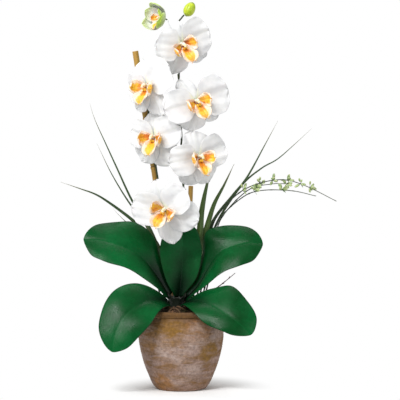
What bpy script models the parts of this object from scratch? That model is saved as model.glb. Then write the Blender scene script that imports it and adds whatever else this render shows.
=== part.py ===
"""A white moth orchid with two flower spikes, growing in a weathered clay pot.

Runs with: blender --background --python part.py
Lengths are in metres. +Z is up and the flat base of the pot rests on Z = 0, centred on the origin.
The flowers face -Y, so from there +X is to the right.
"""

import math

import bmesh
import bpy
from mathutils import Matrix, Vector

MM = 0.001
GAP = 0.3 * MM  # clearance between pieces that touch

# Clay pot: (radius, height) of the outer wall from the base to the rim, in millimetres.
POT_OUTER_MM = [
    (40, 0), (44, 1), (50.5, 9), (57.5, 25), (64.4, 42), (70, 62), (73.6, 80),
    (74.7, 92), (73, 108), (68.5, 119), (64.5, 126), (66.2, 128.5), (66.4, 134), (64.5, 137),
]
POT_WALL = 6 * MM
POT_FLOOR = 9 * MM
POT_SEGMENTS = 36
RIM_HEIGHT = POT_OUTER_MM[-1][1] * MM

# Growing medium: a low mound of bark and moss that fills the pot.
SOIL_EDGE_HEIGHT = 122 * MM
SOIL_MOUND = 18 * MM
SOIL_RADIUS = 59 * MM

# Short central stem of the plant, from which the leaves part.
CROWN_CENTRE_MM = (-7, 0)
CROWN_PROFILE_MM = [(9, 0), (10, 5), (9, 11), (5, 16)]

LEAF_THICKNESS = 1.8 * MM
LEAF_ROWS = 14
LEAF_COLUMNS = 6
LEAF_ROUNDING_START = 0.74  # share of the length after which a leaf narrows in a blunt round
LEAF_BLUNTNESS = 3.2
BLADE_ROWS = 16
BLADE_THICKNESS = 0.7 * MM
TEPAL_THICKNESS = 0.8 * MM
TEPAL_ROWS = 6
TEPAL_COLUMNS = 4

STAKE_RADIUS = 5.0 * MM
SHORT_STAKE_RADIUS = 4.0 * MM
SPIKE_RADIUS = 2.1 * MM
PEDICEL_RADIUS = 1.3 * MM
PEDICEL_DROP = 12 * MM  # how far below its flower a stalk leaves the spike
SPIKE_RINGS = 34

# Each leaf is drawn by three lines from its base to its tip: the back edge, the midrib and the
# front edge. Points are (x, y, z) in millimetres.
LEAVES_MM = {
    "leaf_upper_left": (
        [(-15, 14, 166), (-36, 17, 228), (-52, 24, 266), (-79, 30, 285), (-112, 30, 287),
         (-143, 23, 284), (-163, 15, 281)],
        [(-20, 6, 157), (-42, 2, 194), (-66, 0, 224), (-92, -2, 241), (-121, -4, 252),
         (-147, -3, 257), (-169, 0, 258)],
        [(-21, -3, 153), (-43, -16, 175), (-68, -26, 195), (-97, -32, 211), (-127, -32, 220),
         (-150, -25, 228), (-165, -17, 236)],
    ),
    "leaf_upper_right": (
        [(1, 16, 156), (27, 15, 188), (37, 20, 228), (43, 26, 268), (71, 30, 280),
         (112, 24, 279), (137, 15, 275)],
        [(6, 7, 152), (31, 4, 178), (49, 4, 210), (66, 2, 234), (90, -2, 246),
         (118, -3, 252), (142, 0, 250)],
        [(9, -3, 149), (31, -14, 169), (54, -22, 187), (77, -28, 205), (101, -28, 213),
         (124, -22, 222), (139, -17, 230)],
    ),
    "leaf_centre": (
        [(-11, 9, 157), (-26, 1, 187), (-36, 2, 225), (-35, 5.5, 253), (-26, 7, 274), (-15, 9, 288)],
        [(-4, 13, 155), (0, 13, 188), (3, 13, 225), (3, 13, 252), (3, 13, 274), (1, 12, 290)],
        [(2, 10, 158), (26, 2, 189), (36, 5, 229), (34, 8, 254), (28, 10, 273), (18, 11, 287)],
    ),
    "leaf_lower_left": (
        [(-23, -7, 153), (-43, -16, 171), (-77, -32, 184), (-107, -48, 178), (-128, -64, 154),
         (-138, -80, 118), (-136, -92, 85)],
        [(-20, -13, 147), (-34, -36, 156), (-57, -56, 156), (-80, -72, 144), (-98, -85, 125),
         (-109, -94, 101), (-114, -100, 75)],
        [(-17, -19, 144), (-27, -48, 145), (-37, -70, 139), (-51, -86, 119), (-68, -96, 102),
         (-84, -101, 84), (-97, -101.5, 70)],
    ),
    "leaf_lower_right": (
        [(8, -9, 150), (26, -14, 163), (55, -28, 176), (86, -42, 180), (111, -58, 160),
         (128, -74, 133), (132, -84, 108)],
        [(3, -14, 147), (17, -36, 153), (38, -56, 153), (63, -72, 144), (85, -84, 131),
         (103, -90, 117), (117, -92, 102)],
        [(-2, -19, 145), (8, -48, 146), (20, -70, 140), (38, -84, 123), (62, -94, 112),
         (82, -98, 104), (98, -97, 96)],
    ),
}

# Grass blades: points in millimetres, widest width in millimetres.
BLADES_MM = {
    "grass_left_1": (4.0, [(-14, 35, 124), (-28, 38, 200), (-42, 38, 246), (-62, 32, 289),
                           (-85, 14, 324), (-110, -4, 380), (-130, -6, 424), (-148, -6, 464),
                           (-157, -6, 492)]),
    "grass_left_2": (3.6, [(-18, 41, 124), (-33, 44, 200), (-48, 44, 248), (-68, 39, 291),
                           (-91, 23, 321), (-120, 10, 370), (-146, 6, 424)]),
    "grass_left_3": (6.0, [(-24, 45, 124), (-40, 51, 205), (-56, 53, 252), (-73, 51, 276),
                           (-92, 46, 294), (-124, 30, 319), (-148, 14, 335), (-174, 6, 345),
                           (-208, -2, 357)]),
    "grass_left_4": (3.2, [(-31, 43, 124), (-53, 58, 222), (-78, 61, 268), (-102, 59, 289),
                           (-121, 57, 309)]),
    "grass_left_5": (4.6, [(-12, 29, 124), (-26, 31, 200), (-38, 31, 243), (-51, 31, 264),
                           (-64, 27, 286)]),
    "grass_right_1": (10.0, [(4, 31, 124), (13, 33, 180), (25, 35, 230), (32, 35, 264),
                             (35, 30, 299), (40, 25, 329), (45, 22, 352), (53, 18, 390)]),
    "grass_right_2": (8.5, [(12, 36, 124), (22, 41, 190), (34, 43, 240), (46, 36, 281),
                            (58, 22, 319), (75, 12, 352), (92, 8, 388)]),
    "grass_right_3": (5.0, [(16, 42, 124), (28, 48, 190), (41, 50, 240), (56, 44, 288),
                            (90, 32, 333), (115, 22, 365), (146, 14, 422), (168, 8, 463)]),
    "grass_right_4": (4.0, [(22, 44, 124), (35, 54, 190), (48, 58, 240), (66, 56, 290),
                            (106, 46, 350), (140, 38, 380), (169, 33, 397), (201, 30, 425),
                            (228, 28, 450)]),
}

# Flowering grass stalks: points in millimetres, and how far along the stalk its florets sit.
SPRIGS_MM = {
    "sprig_front": ([(30, 28, 124), (46, 42, 190), (55, 44, 240), (64, 36, 287), (104, 18, 328),
                     (138, 8, 342), (191, -4, 342), (233, -8, 333)], (0.70, 0.84)),
    "sprig_middle": ([(26, 34, 124), (40, 44, 190), (48, 46, 240), (59, 40, 289), (93, 24, 331),
                      (128, 14, 352), (174, 4, 361), (214, 0, 351), (269, -4, 324)],
                     (0.58, 0.66, 0.72, 0.78, 0.84, 0.88)),
    "sprig_back": ([(34, 34, 124), (50, 50, 190), (58, 56, 240), (70, 52, 291), (116, 42, 341),
                    (159, 34, 353), (191, 28, 353)], (0.80, 0.98)),
}
SPRIG_RADIUS = 0.9 * MM
FLORET_LENGTH = 7 * MM
FLORET_STALK = 2.4 * MM

# Support canes: foot and top in millimetres.
STAKES_MM = {
    "stake_left": (STAKE_RADIUS, (-9, 20, 122), (-79, 4, 583)),
    "stake_right": (SHORT_STAKE_RADIUS, (8, 23, 122), (17, 14, 350)),
}

# Flower spikes: main stem points in millimetres. The pedicels to the flowers are added to them.
SPIKE_RIGHT_MM = [
    (-1, 19.5, 124), (0, 20, 180), (3, 19, 240), (6, 17, 290), (7, 12, 320), (6, 8.5, 337),
    (3, 8, 360), (0, 8, 412), (1, 8, 437), (-3, 8, 482), (-4, 8, 525), (-3, 7, 550), (0, 6, 585),
    (-3, 4, 615), (-4, 2, 632), (1, 1, 640), (5.5, 0, 645),
]
SPIKE_LEFT_MM = [
    (0, 28, 124), (-2, 26, 170), (-9, 23, 210), (-18, 20.5, 250), (-26, 15, 295),
    (-33, 8.5, 325), (-42, 4.5, 374), (-57, 1, 480), (-61, -1, 506),
]

# Open flowers. Centre in millimetres. Yaw turns the face to +X, pitch tips it up, roll turns it
# in its own plane (degrees). Each tepal is (direction in degrees, length, width) in millimetres.
FLOWERS = {
    "a": dict(centre=(2, -32, 592), yaw=25, pitch=-12, roll=32,
              petals=[(30, 56, 62), (184, 48, 52)],
              sepals=[(120, 46, 30), (262, 54, 38), (338, 57, 34)], spike="right"),
    "b": dict(centre=(-57, -33, 521), yaw=-38, pitch=-4, roll=-6,
              petals=[(34, 57, 60), (184, 47, 48)],
              sepals=[(112, 50, 46), (226, 53, 40), (293, 55, 38)], spike="left"),
    "c": dict(centre=(27, -42, 494), yaw=18, pitch=-2, roll=24,
              petals=[(22, 61, 64), (194, 59, 54)],
              sepals=[(130, 46, 28), (258, 50, 44), (330, 49, 34)], spike="right"),
    "d": dict(centre=(-46, -22, 434), yaw=-25, pitch=-3, roll=-4,
              petals=[(21, 53, 52), (166, 48, 46)],
              sepals=[(96, 44, 38), (234, 51, 42), (300, 54, 48)], spike="left"),
    "e": dict(centre=(31, -36, 400), yaw=30, pitch=-2, roll=6,
              petals=[(22, 58, 52), (190, 57, 50)],
              sepals=[(98, 45, 44), (246, 51, 42), (303, 51, 42)], spike="right"),
    "f": dict(centre=(-27, -44, 311), yaw=-14, pitch=-8, roll=-28,
              petals=[(42, 50, 50), (177, 60, 54)],
              sepals=[(110, 52, 46), (280, 62, 38), (340, 59, 50)], spike="left"),
}

# Half-open flower and closed bud at the tips of the right spike.
HALF_OPEN = dict(centre=(-32, -7, 638), yaw=-56, pitch=6, roll=-12, spike="right")
HALF_OPEN_SEPALS = ((90, 1.0), (210, 1.0), (330, 0.78))  # direction in degrees, share of full length
HALF_OPEN_PETALS = ((30, 0.7), (150, 1.0))
BUD_CENTRE_MM = (15, 0, 655)
BUD_LENGTH = 26 * MM
BUD_WIDTH = 21 * MM
BUD_TILT = math.radians(28)

# Heights of the stacked parts of a flower above its centre, along the way that it faces.
SEPAL_LEVEL = -2.6 * MM
LIP_LEVEL = 2.4 * MM
HUB_RADIUS = 3.0 * MM

# Lobes of an open flower: share of the full half width from the hub to the end, half width of the
# foot, and the least distance from a lobe to the line midway to its neighbour.
TEPAL_SHARES = (0.0, 0.56, 0.88, 1.0, 0.98, 0.78, 0.24)
TEPAL_FOOT_MM = 1.9
LOBE_CLEARANCE_MM = 0.7

ROOTS_MM = {
    "root_left": [(-14, -27, 139), (-16, -30, 139.5), (-22, -40, 134), (-28, -47, 126)],
    "root_right": [(-10, -27, 140), (-8, -31, 140.5), (-3, -40, 137), (2, -48, 130)],
}
ROOT_RADIUS = 1.6 * MM
TWIG_MM = [(24, 6, 128), (34, -2, 150), (50, -12, 167), (68, -20, 180), (93, -36, 202)]
TWIG_RADIUS = 1.3 * MM
CHIP_CENTRE_MM = (-14, -51.5, 133.5)
CHIP_SIZE_MM = (14, 5, 9)

# Colour (linear RGB), roughness and metallic value of each material.
FINISHES = {
    "weathered_clay": ((0.36, 0.23, 0.13), 0.85, 0.0),
    "bark_mix": ((0.035, 0.022, 0.015), 0.95, 0.0),
    "leaf_green": ((0.004, 0.11, 0.03), 0.28, 0.0),
    "crown_green": ((0.02, 0.07, 0.02), 0.5, 0.0),
    "grass_green": ((0.03, 0.09, 0.02), 0.5, 0.0),
    "sprig_green": ((0.10, 0.16, 0.05), 0.5, 0.0),
    "spike_green": ((0.015, 0.035, 0.015), 0.45, 0.0),
    "bamboo": ((0.36, 0.20, 0.04), 0.5, 0.0),
    "petal_white": ((0.78, 0.78, 0.76), 0.55, 0.0),
    "lip_orange": ((0.85, 0.36, 0.04), 0.45, 0.0),
    "bud_green": ((0.40, 0.52, 0.03), 0.4, 0.0),
    "root_brown": ((0.10, 0.045, 0.02), 0.8, 0.0),
    "twig_maroon": ((0.05, 0.012, 0.015), 0.6, 0.0),
}


def clear_scene():
    """Remove the objects that a new file starts with."""
    for item in list(bpy.data.objects):
        bpy.data.objects.remove(item, do_unlink=True)


def material(name):
    """Make a Principled material from FINISHES, or give the one already made."""
    found = bpy.data.materials.get(name)
    if found:
        return found
    colour, roughness, metallic = FINISHES[name]
    made = bpy.data.materials.new(name)
    made.use_nodes = True
    shader = made.node_tree.nodes["Principled BSDF"]
    shader.inputs["Base Color"].default_value = (*colour, 1.0)
    shader.inputs["Roughness"].default_value = roughness
    shader.inputs["Metallic"].default_value = metallic
    made.diffuse_color = (*colour, 1.0)
    return made


def metres(points):
    """Turn millimetre points into vectors in metres."""
    return [Vector(point) * MM for point in points]


def along(points, t):
    """Point at t (0 to 1) on a smooth Catmull-Rom curve through evenly spaced points."""
    last = len(points) - 1
    place = min(max(t, 0.0), 1.0) * last
    i = min(int(place), last - 1)
    f = place - i
    p1, p2 = points[i], points[i + 1]
    p0 = points[i - 1] if i > 0 else p1 * 2 - p2
    p3 = points[i + 2] if i + 2 <= last else p2 * 2 - p1
    return (p1 * 2 + (p2 - p0) * f + (p0 * 2 - p1 * 5 + p2 * 4 - p3) * f ** 2
            + (p1 * 3 - p0 - p2 * 3 + p3) * f ** 3) * 0.5


def smooth_path(points, count):
    """Points on the smooth curve through some points, evenly spaced by length."""
    fine = [along(points, i / 400) for i in range(401)]
    lengths = [0.0]
    for a, b in zip(fine, fine[1:]):
        lengths.append(lengths[-1] + (b - a).length)
    path, k = [], 0
    for i in range(count):
        target = lengths[-1] * i / (count - 1)
        while k < 399 and lengths[k + 1] < target:
            k += 1
        span = lengths[k + 1] - lengths[k]
        path.append(fine[k].lerp(fine[k + 1], (target - lengths[k]) / span))
    return path


def tangents(path):
    """Unit direction of a path at each of its points."""
    ends = list(zip([path[0], *path[:-1]], [*path[1:], path[-1]]))
    return [(b - a).normalized() for a, b in ends]


def new_object(name, mesh, finish, parent=None, smooth=True):
    """Link a mesh into the scene as a named piece with its own material."""
    item = bpy.data.objects.new(name, mesh)
    bpy.context.scene.collection.objects.link(item)
    item.data.materials.append(material(finish))
    if smooth:
        item.data.shade_smooth()
    item.parent = parent
    return item


def sheet_object(name, vertices, faces, finish, thickness, parent=None):
    """A thin piece: a surface with its thickness given by a Solidify modifier."""
    mesh = bpy.data.meshes.new(name)
    mesh.from_pydata([tuple(v) for v in vertices], [], faces)
    item = new_object(name, mesh, finish, parent)
    solidify = item.modifiers.new("thickness", "SOLIDIFY")
    solidify.thickness = thickness
    solidify.offset = 0.0
    return item


def closed_mesh(name, bm):
    """Finish a bmesh as a closed mesh with its faces turned outward."""
    bmesh.ops.recalc_face_normals(bm, faces=bm.faces)
    mesh = bpy.data.meshes.new(name)
    bm.to_mesh(mesh)
    bm.free()
    return mesh


def lathe(name, profile, segments):
    """Closed solid of revolution about Z. The profile starts and ends on the axis."""
    bm = bmesh.new()
    points = [bm.verts.new((r, 0.0, z)) for r, z in profile]
    edges = [bm.edges.new(pair) for pair in zip(points, points[1:])]
    bmesh.ops.spin(bm, geom=points + edges, cent=(0, 0, 0), axis=(0, 0, 1),
                   angle=2 * math.pi, steps=segments, use_merge=False)
    bmesh.ops.remove_doubles(bm, verts=bm.verts, dist=0.01 * MM)
    return closed_mesh(name, bm)


def frame_across(direction, previous):
    """Two unit vectors across a direction, turned as little as possible from the previous one."""
    side = previous - direction * previous.dot(direction)
    side.normalize()
    return side, direction.cross(side)


def tube(name, path, radii, sides):
    """Closed tube mesh along a path, with a radius at each point."""
    bm = bmesh.new()
    side = Vector((1, 0, 0)) if abs(tangents(path)[0].x) < 0.9 else Vector((0, 1, 0))
    rings = []
    for centre, direction, radius in zip(path, tangents(path), radii):
        side, up = frame_across(direction, side)
        turns = [2 * math.pi * k / sides for k in range(sides)]
        rings.append([bm.verts.new(centre + (side * math.cos(a) + up * math.sin(a)) * radius)
                      for a in turns])
    for lower, upper in zip(rings, rings[1:]):
        for k in range(sides):
            n = (k + 1) % sides
            bm.faces.new((lower[k], lower[n], upper[n], upper[k]))
    bm.faces.new(rings[0][::-1])
    bm.faces.new(rings[-1])
    return closed_mesh(name, bm)


def united(name, meshes, finish):
    """One body from overlapping closed meshes, joined with exact Booleans."""
    body = new_object(name, meshes[0], finish)
    helpers = []
    for mesh in meshes[1:]:
        helper = new_object(name + "_helper", mesh, finish)
        union = body.modifiers.new("union", "BOOLEAN")
        union.operation = "UNION"
        union.solver = "EXACT"
        union.object = helper
        helpers.append(helper)
    bpy.context.view_layer.update()
    result = bpy.data.meshes.new_from_object(body.evaluated_get(bpy.context.evaluated_depsgraph_get()))
    body.modifiers.clear()
    body.data = result
    for helper in helpers:
        bpy.data.objects.remove(helper, do_unlink=True)
    return body


def soil_height(x, y):
    """Height of the growing medium's surface at a place."""
    r = min(math.hypot(x, y) / SOIL_RADIUS, 1.0)
    return SOIL_EDGE_HEIGHT + SOIL_MOUND * (1 - r * r)


def on_soil(points, lift=0.0):
    """Set the first point of a stalk just above the growing medium."""
    first = points[0]
    first.z = soil_height(first.x, first.y) + GAP + lift
    return points


def build_pot():
    """Turned clay pot with a full flat base, a belly, and a rim that flares a little."""
    outer = [(r * MM, z * MM) for r, z in POT_OUTER_MM]
    lip = [(62.5 * MM, RIM_HEIGHT + 0.2 * MM), (60.4 * MM, RIM_HEIGHT - 1.6 * MM)]
    inner = [(r - POT_WALL, z) for r, z in outer[2:11] if z > POT_FLOOR]
    inner = [(min(r, 67 * MM), z) for r, z in inner]
    floor = [(38 * MM, POT_FLOOR), (0.0, POT_FLOOR)]
    profile = [(0.0, 0.0), *outer, *lip, (59.6 * MM, 126 * MM), *inner[-2::-1], *floor]
    new_object("pot", lathe("pot", profile, POT_SEGMENTS), "weathered_clay")


def build_soil():
    """Growing medium, filling the pot to below its rim with a low mound."""
    rings = 5
    top = [(SOIL_RADIUS * k / rings, soil_height(SOIL_RADIUS * k / rings, 0)) for k in range(rings + 1)]
    side = [(59.0 * MM, 119 * MM), (61 * MM, 112 * MM), (66 * MM, 104 * MM), (67.5 * MM, 92 * MM),
            (66.5 * MM, 80 * MM), (63 * MM, 62 * MM), (57.5 * MM, 42 * MM), (50.5 * MM, 25 * MM),
            (37 * MM, POT_FLOOR + GAP)]
    inset = [(r - 1.2 * MM, z) for r, z in side]
    new_object("growing_medium", lathe("growing_medium", [*top, *inset, (0.0, POT_FLOOR + GAP)],
                                       POT_SEGMENTS // 2), "bark_mix")


def build_crown():
    """Short stem in the middle, with its foot just on the growing medium."""
    x, y = (v * MM for v in CROWN_CENTRE_MM)
    profile = [(r * MM, z * MM) for r, z in CROWN_PROFILE_MM]
    mesh = lathe("crown", [(0.0, 0.0), *profile, (0.0, 17 * MM)], 12)
    new_object("crown", mesh, "crown_green").location = (x, y, soil_height(0, 0) + GAP)


def rounded_end(u, start):
    """Share of the full width left at u, for an end that closes in a half round."""
    if u <= start:
        return 1.0
    return max(math.sqrt(1 - ((u - start) / (1 - start)) ** LEAF_BLUNTNESS), 0.12)


def leaf_point(lines, u, t):
    """Point of a leaf at u along it and t across it (-1 back edge, 0 midrib, 1 front edge)."""
    back, midrib, front = (along(line, u) for line in lines)
    ahead = along(lines[1], min(u + 0.02, 1.0)) - along(lines[1], max(u - 0.02, 0.0))
    face = (back - front).cross(ahead).normalized()
    if face.y > 0:
        face.negate()
    edge = back if t < 0 else front
    s = abs(t) * rounded_end(u, LEAF_ROUNDING_START)
    swell = 0.22 * (edge - midrib).length * s * (1 - s)
    return midrib.lerp(edge, s) + face * swell


def build_leaves():
    """Broad strap leaves, folded along the midrib."""
    for name, lines_mm in LEAVES_MM.items():
        lines = [metres(line) for line in lines_mm]
        shares = [1 - (1 - i / LEAF_ROWS) ** 1.5 for i in range(LEAF_ROWS + 1)]
        vertices = [leaf_point(lines, u, 2 * j / LEAF_COLUMNS - 1)
                    for u in shares for j in range(LEAF_COLUMNS + 1)]
        faces = grid_faces(LEAF_ROWS, LEAF_COLUMNS, 0)
        sheet_object(name, vertices, faces, "leaf_green", LEAF_THICKNESS)


def grid_faces(rows, columns, start):
    """Faces of a grid of vertices that are numbered row by row."""
    n = columns + 1
    corners = [(start + i * n + j) for i in range(rows) for j in range(columns)]
    return [(c, c + 1, c + n + 1, c + n) for c in corners]


def build_blades():
    """Narrow grass blades with a shallow V section, tapering to a point."""
    for name, (width, points) in BLADES_MM.items():
        path = smooth_path(on_soil(metres(points), 0.5 * MM), BLADE_ROWS + 1)
        vertices = []
        for i, (point, direction) in enumerate(zip(path, tangents(path))):
            u = i / BLADE_ROWS
            side = direction.cross(Vector((0, 1, 0))).normalized()
            half = width * MM / 2 * max(min(0.45 + 1.6 * u, 1.0) * (1 - u ** 2.2), 0.16)
            fold = direction.cross(side) * (half * 0.35)
            vertices += [point - side * half, point + fold, point + side * half]
        sheet_object(name, vertices, grid_faces(BLADE_ROWS, 2, 0), "grass_green", BLADE_THICKNESS)


def floret(centre, direction, size):
    """Small closed floret, pointed at both ends."""
    bm = bmesh.new()
    turn = direction.to_track_quat("Z", "Y").to_matrix().to_4x4()
    shape = Matrix.Diagonal((size * 0.34, size * 0.34, size * 0.6, 1.0))
    bmesh.ops.create_icosphere(bm, subdivisions=1, radius=1.0,
                               matrix=Matrix.Translation(centre) @ turn @ shape)
    return closed_mesh("floret", bm)


def build_sprigs():
    """Thin arching stalks that carry small florets."""
    for name, (points, places) in SPRIGS_MM.items():
        path = smooth_path(on_soil(metres(points), 0.3 * MM), 26)
        radii = [SPRIG_RADIUS * (1 - 0.55 * i / 25) for i in range(26)]
        bodies = [tube(name, path, radii, 6)]
        for k, place in enumerate(places):
            i = min(int(place * 25), 24)
            lean = Vector((0.3, -0.2, 0.8 if k % 2 else -0.5)).normalized()
            bodies.append(floret(path[i] + lean * FLORET_STALK, lean, FLORET_LENGTH))
        united(name, bodies, "sprig_green")


def build_stakes():
    """Canes with a slight swelling at each node and a flat cut top."""
    for name, (radius, foot, top) in STAKES_MM.items():
        a, b = metres([foot, top])
        a.z = soil_height(a.x, a.y) + GAP + 0.8 * MM
        count = 13
        path = [a.lerp(b, i / (count - 1)) for i in range(count)]
        radii = [radius * (1.05 if i % 4 == 2 else 1.0) for i in range(count)]
        new_object(name, tube(name, path, radii, 12), "bamboo")


def facing(flower):
    """Rotation that turns a flower's own +Z to the way it faces and its own +Y up."""
    yaw, pitch = math.radians(flower["yaw"]), math.radians(flower["pitch"])
    ahead = Vector((math.sin(yaw) * math.cos(pitch), -math.cos(yaw) * math.cos(pitch), math.sin(pitch)))
    right = Vector((math.cos(yaw), math.sin(yaw), 0.0))
    return Matrix((right, ahead.cross(right), ahead)).transposed()


def lobe(angle, spine, half_widths, cup=0.0, wrap=False, rows=TEPAL_ROWS, columns=TEPAL_COLUMNS):
    """Grid of points of one lobe. The spine is (distance out, distance ahead) from the hub.

    A wrapped lobe bends round the flower's axis; the others stay square to their direction.
    """
    a = math.radians(angle)
    line = [Vector((r, z, 0)) * MM for r, z in spine]
    widths = [Vector((w, 0, 0)) * MM for w in half_widths]
    points = []
    for i in range(rows + 1):
        u = i / rows
        r, z, _ = along(line, u)
        step = along(line, min(u + 0.02, 1)) - along(line, max(u - 0.02, 0))
        step.normalize()
        half = along(widths, u).x
        for j in range(columns + 1):
            t = 2 * j / columns - 1
            lift = cup * half * t * t
            out, ahead = r - step.y * lift, z + step.x * lift
            if wrap:
                turn = a + t * half / max(r, half * 0.8)
                points.append(Vector((out * math.cos(turn), out * math.sin(turn), ahead)))
            else:
                across = t * half
                points.append(Vector((out * math.cos(a) - across * math.sin(a),
                                      out * math.sin(a) + across * math.cos(a), ahead)))
    return points, rows, columns


def band_faces(lower, upper):
    """Faces between two closed loops of vertex numbers."""
    pairs = list(zip(lower, upper))
    return [(a, b, d, c) for (a, b), (c, d) in zip(pairs, [*pairs[1:], pairs[0]])]


def whorl(name, lobes, finish, level, parent, column=()):
    """One piece made of several lobes round a hub, with an optional hollow column in the middle."""
    vertices, faces, loop = [], [], []
    for points, rows, columns in lobes:
        start = len(vertices)
        vertices += points
        faces += grid_faces(rows, columns, start)
        loop += range(start, start + columns + 1)
    for radius, height in column:
        ring = []
        for index in loop:
            spoke = Vector((vertices[index].x, vertices[index].y, 0)).normalized() * radius
            ring.append(len(vertices))
            vertices.append(Vector((spoke.x, spoke.y, height)) * MM)
        faces += band_faces(loop, ring)
        loop = ring
    top = (column[-1][1] + 0.6) * MM if column else 0.0
    vertices.append(Vector((0, 0, top)))
    centre = len(vertices) - 1
    faces += [(a, centre, b) for a, b in zip(loop, [*loop[1:], loop[0]])]
    item = sheet_object(name, vertices, faces, finish, TEPAL_THICKNESS, parent)
    item.location = (0, 0, level)
    return item


def room_beside(angle, tepals):
    """Half the angle from a lobe to its nearest neighbour in the same whorl, in radians."""
    turns = [abs((angle - other + 180) % 360 - 180) for other, _, _ in tepals]
    return math.radians(min(turn for turn in turns if turn > 0) / 2)


def tepal(angle, length, width, fall, cup, room):
    """Flat lobe of an open flower: narrow at the hub, broad beyond the middle, round at the end.

    It stays clear of its neighbours by keeping inside its own share of the circle.
    """
    hub = HUB_RADIUS / MM
    out = [hub + (length - hub) * k / 6 for k in range(7)]
    spine = [(r, -fall * (r / length) ** 2) for r in out]
    wanted = [max(width / 2 * share, TEPAL_FOOT_MM) for share in TEPAL_SHARES]
    spread = math.tan(min(room, math.radians(80)))
    halves = [min(half, r * spread - LOBE_CLEARANCE_MM) for half, r in zip(wanted, out)]
    return lobe(angle, spine, halves, cup)


def lip_lobes(roll, scale=1.0):
    """The lip: a pointed lobe that juts forward below and two upright side lobes."""
    def sized(values):
        return [tuple(v * scale for v in pair) for pair in values]

    middle = sized([(2.8, 0), (7, 3), (11, 9), (15, 15), (20, 19), (26, 18)])
    wing = sized([(2.8, 0), (8, 2.5), (13.5, 7), (16, 14), (13, 20)])
    middle_widths = [w * scale for w in (1.8, 4, 6.5, 10, 8, 1.4)]
    wing_widths = [w * scale for w in (1.8, 5.5, 8.5, 8, 2.8)]
    return [
        lobe(roll - 90, middle, middle_widths, 0.25, rows=6, columns=2),
        lobe(roll + 12, wing, wing_widths, 0.30, rows=4, columns=2),
        lobe(roll + 168, wing, wing_widths, 0.30, rows=4, columns=2),
    ]


LIP_COLUMN = ((2.1, 0.8), (2.3, 3.5), (2.6, 6.5), (2.2, 8.6), (1.1, 9.8))


def build_flowers():
    """Open flowers: three sepals behind, two broad petals, and a lip with its column in front."""
    for key, flower in FLOWERS.items():
        holder = bpy.data.objects.new("flower_" + key, None)
        bpy.context.scene.collection.objects.link(holder)
        holder.location = Vector(flower["centre"]) * MM
        holder.rotation_euler = facing(flower).to_euler()
        sepals = [tepal(*sepal, 9, -0.06, room_beside(sepal[0], flower["sepals"]))
                  for sepal in flower["sepals"]]
        petals = [tepal(*petal, 4, 0.05, room_beside(petal[0], flower["petals"]))
                  for petal in flower["petals"]]
        whorl("sepals_" + key, sepals, "petal_white", SEPAL_LEVEL, holder)
        whorl("petals_" + key, petals, "petal_white", 0.0, holder)
        whorl("lip_" + key, lip_lobes(flower["roll"]), "lip_orange", LIP_LEVEL, holder, LIP_COLUMN)


def shortened(spine, share):
    """A lobe's spine with its points drawn back towards the hub along the flower's axis."""
    return [(r * (0.35 + 0.65 * share), z * share) for r, z in spine]


def build_half_open():
    """A flower that is still cupped, with its lip inside."""
    holder = bpy.data.objects.new("flower_half_open", None)
    bpy.context.scene.collection.objects.link(holder)
    holder.location = Vector(HALF_OPEN["centre"]) * MM
    holder.rotation_euler = facing(HALF_OPEN).to_euler()
    outer = [(2.2, 0), (11, 2.5), (18.5, 9), (23, 19), (23, 30)]
    inner = [(2.2, 0), (9, 4), (15, 10), (18.5, 18), (19, 26)]
    sepals = [lobe(angle, shortened(outer, share), (1.6, 9, 16, 15, 3.5), wrap=True)
              for angle, share in HALF_OPEN_SEPALS]
    petals = [lobe(angle, shortened(inner, share), (1.6, 8, 13, 12, 3.5), wrap=True)
              for angle, share in HALF_OPEN_PETALS]
    whorl("sepals_half_open", sepals, "petal_white", SEPAL_LEVEL, holder)
    whorl("petals_half_open", petals, "petal_white", 0.0, holder)
    column = [(r * 0.5, z * 0.5) for r, z in LIP_COLUMN]
    whorl("lip_half_open", lip_lobes(0, 0.5), "lip_orange", LIP_LEVEL, holder, column)


def build_bud():
    """Closed bud: an egg, a little pointed at its free end."""
    bm = bmesh.new()
    bmesh.ops.create_uvsphere(bm, u_segments=18, v_segments=12, radius=0.5)
    for v in bm.verts:
        taper = 1.0 - 0.18 * (v.co.z + 0.5)
        v.co = Vector((v.co.x * BUD_WIDTH * 1.09 * taper, v.co.y * BUD_WIDTH * 1.09 * taper,
                       v.co.z * BUD_LENGTH))
    bud = new_object("bud", closed_mesh("bud", bm), "bud_green")
    bud.location = Vector(BUD_CENTRE_MM) * MM
    bud.rotation_euler = (0, BUD_TILT, 0)


def pedicel(flower, spike, reach):
    """Stalk from a spike to the back of a flower, coming in square to it."""
    ahead = facing(flower).col[2]
    centre = Vector(flower["centre"]) * MM
    end = centre + ahead * (SEPAL_LEVEL - TEPAL_THICKNESS / 2 - GAP)
    start = min(spike, key=lambda point: abs(point.z - (centre.z - PEDICEL_DROP)))
    behind = end - ahead * reach
    middle = start.lerp(behind, 0.55) + Vector((0, 0, -2 * MM))
    path = smooth_path([start, middle, behind, end], 10)
    return tube("pedicel", path, [PEDICEL_RADIUS] * 10, 6)


def build_spikes():
    """The two flower spikes, each grown in one piece with the stalks of its flowers."""
    for side, points_mm in (("left", SPIKE_LEFT_MM), ("right", SPIKE_RIGHT_MM)):
        path = smooth_path(on_soil(metres(points_mm), 0.5 * MM), SPIKE_RINGS)
        radii = [SPIKE_RADIUS * (1 - 0.35 * i / (SPIKE_RINGS - 1)) for i in range(SPIKE_RINGS)]
        bodies = [tube("spike_" + side, path, radii, 8)]
        flowers = [flower for flower in FLOWERS.values() if flower["spike"] == side]
        bodies += [pedicel(flower, path, 9 * MM) for flower in flowers]
        if side == HALF_OPEN["spike"]:
            bodies.append(pedicel(HALF_OPEN, path, 6 * MM))
        united("spike_" + side, bodies, "spike_green")


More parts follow.
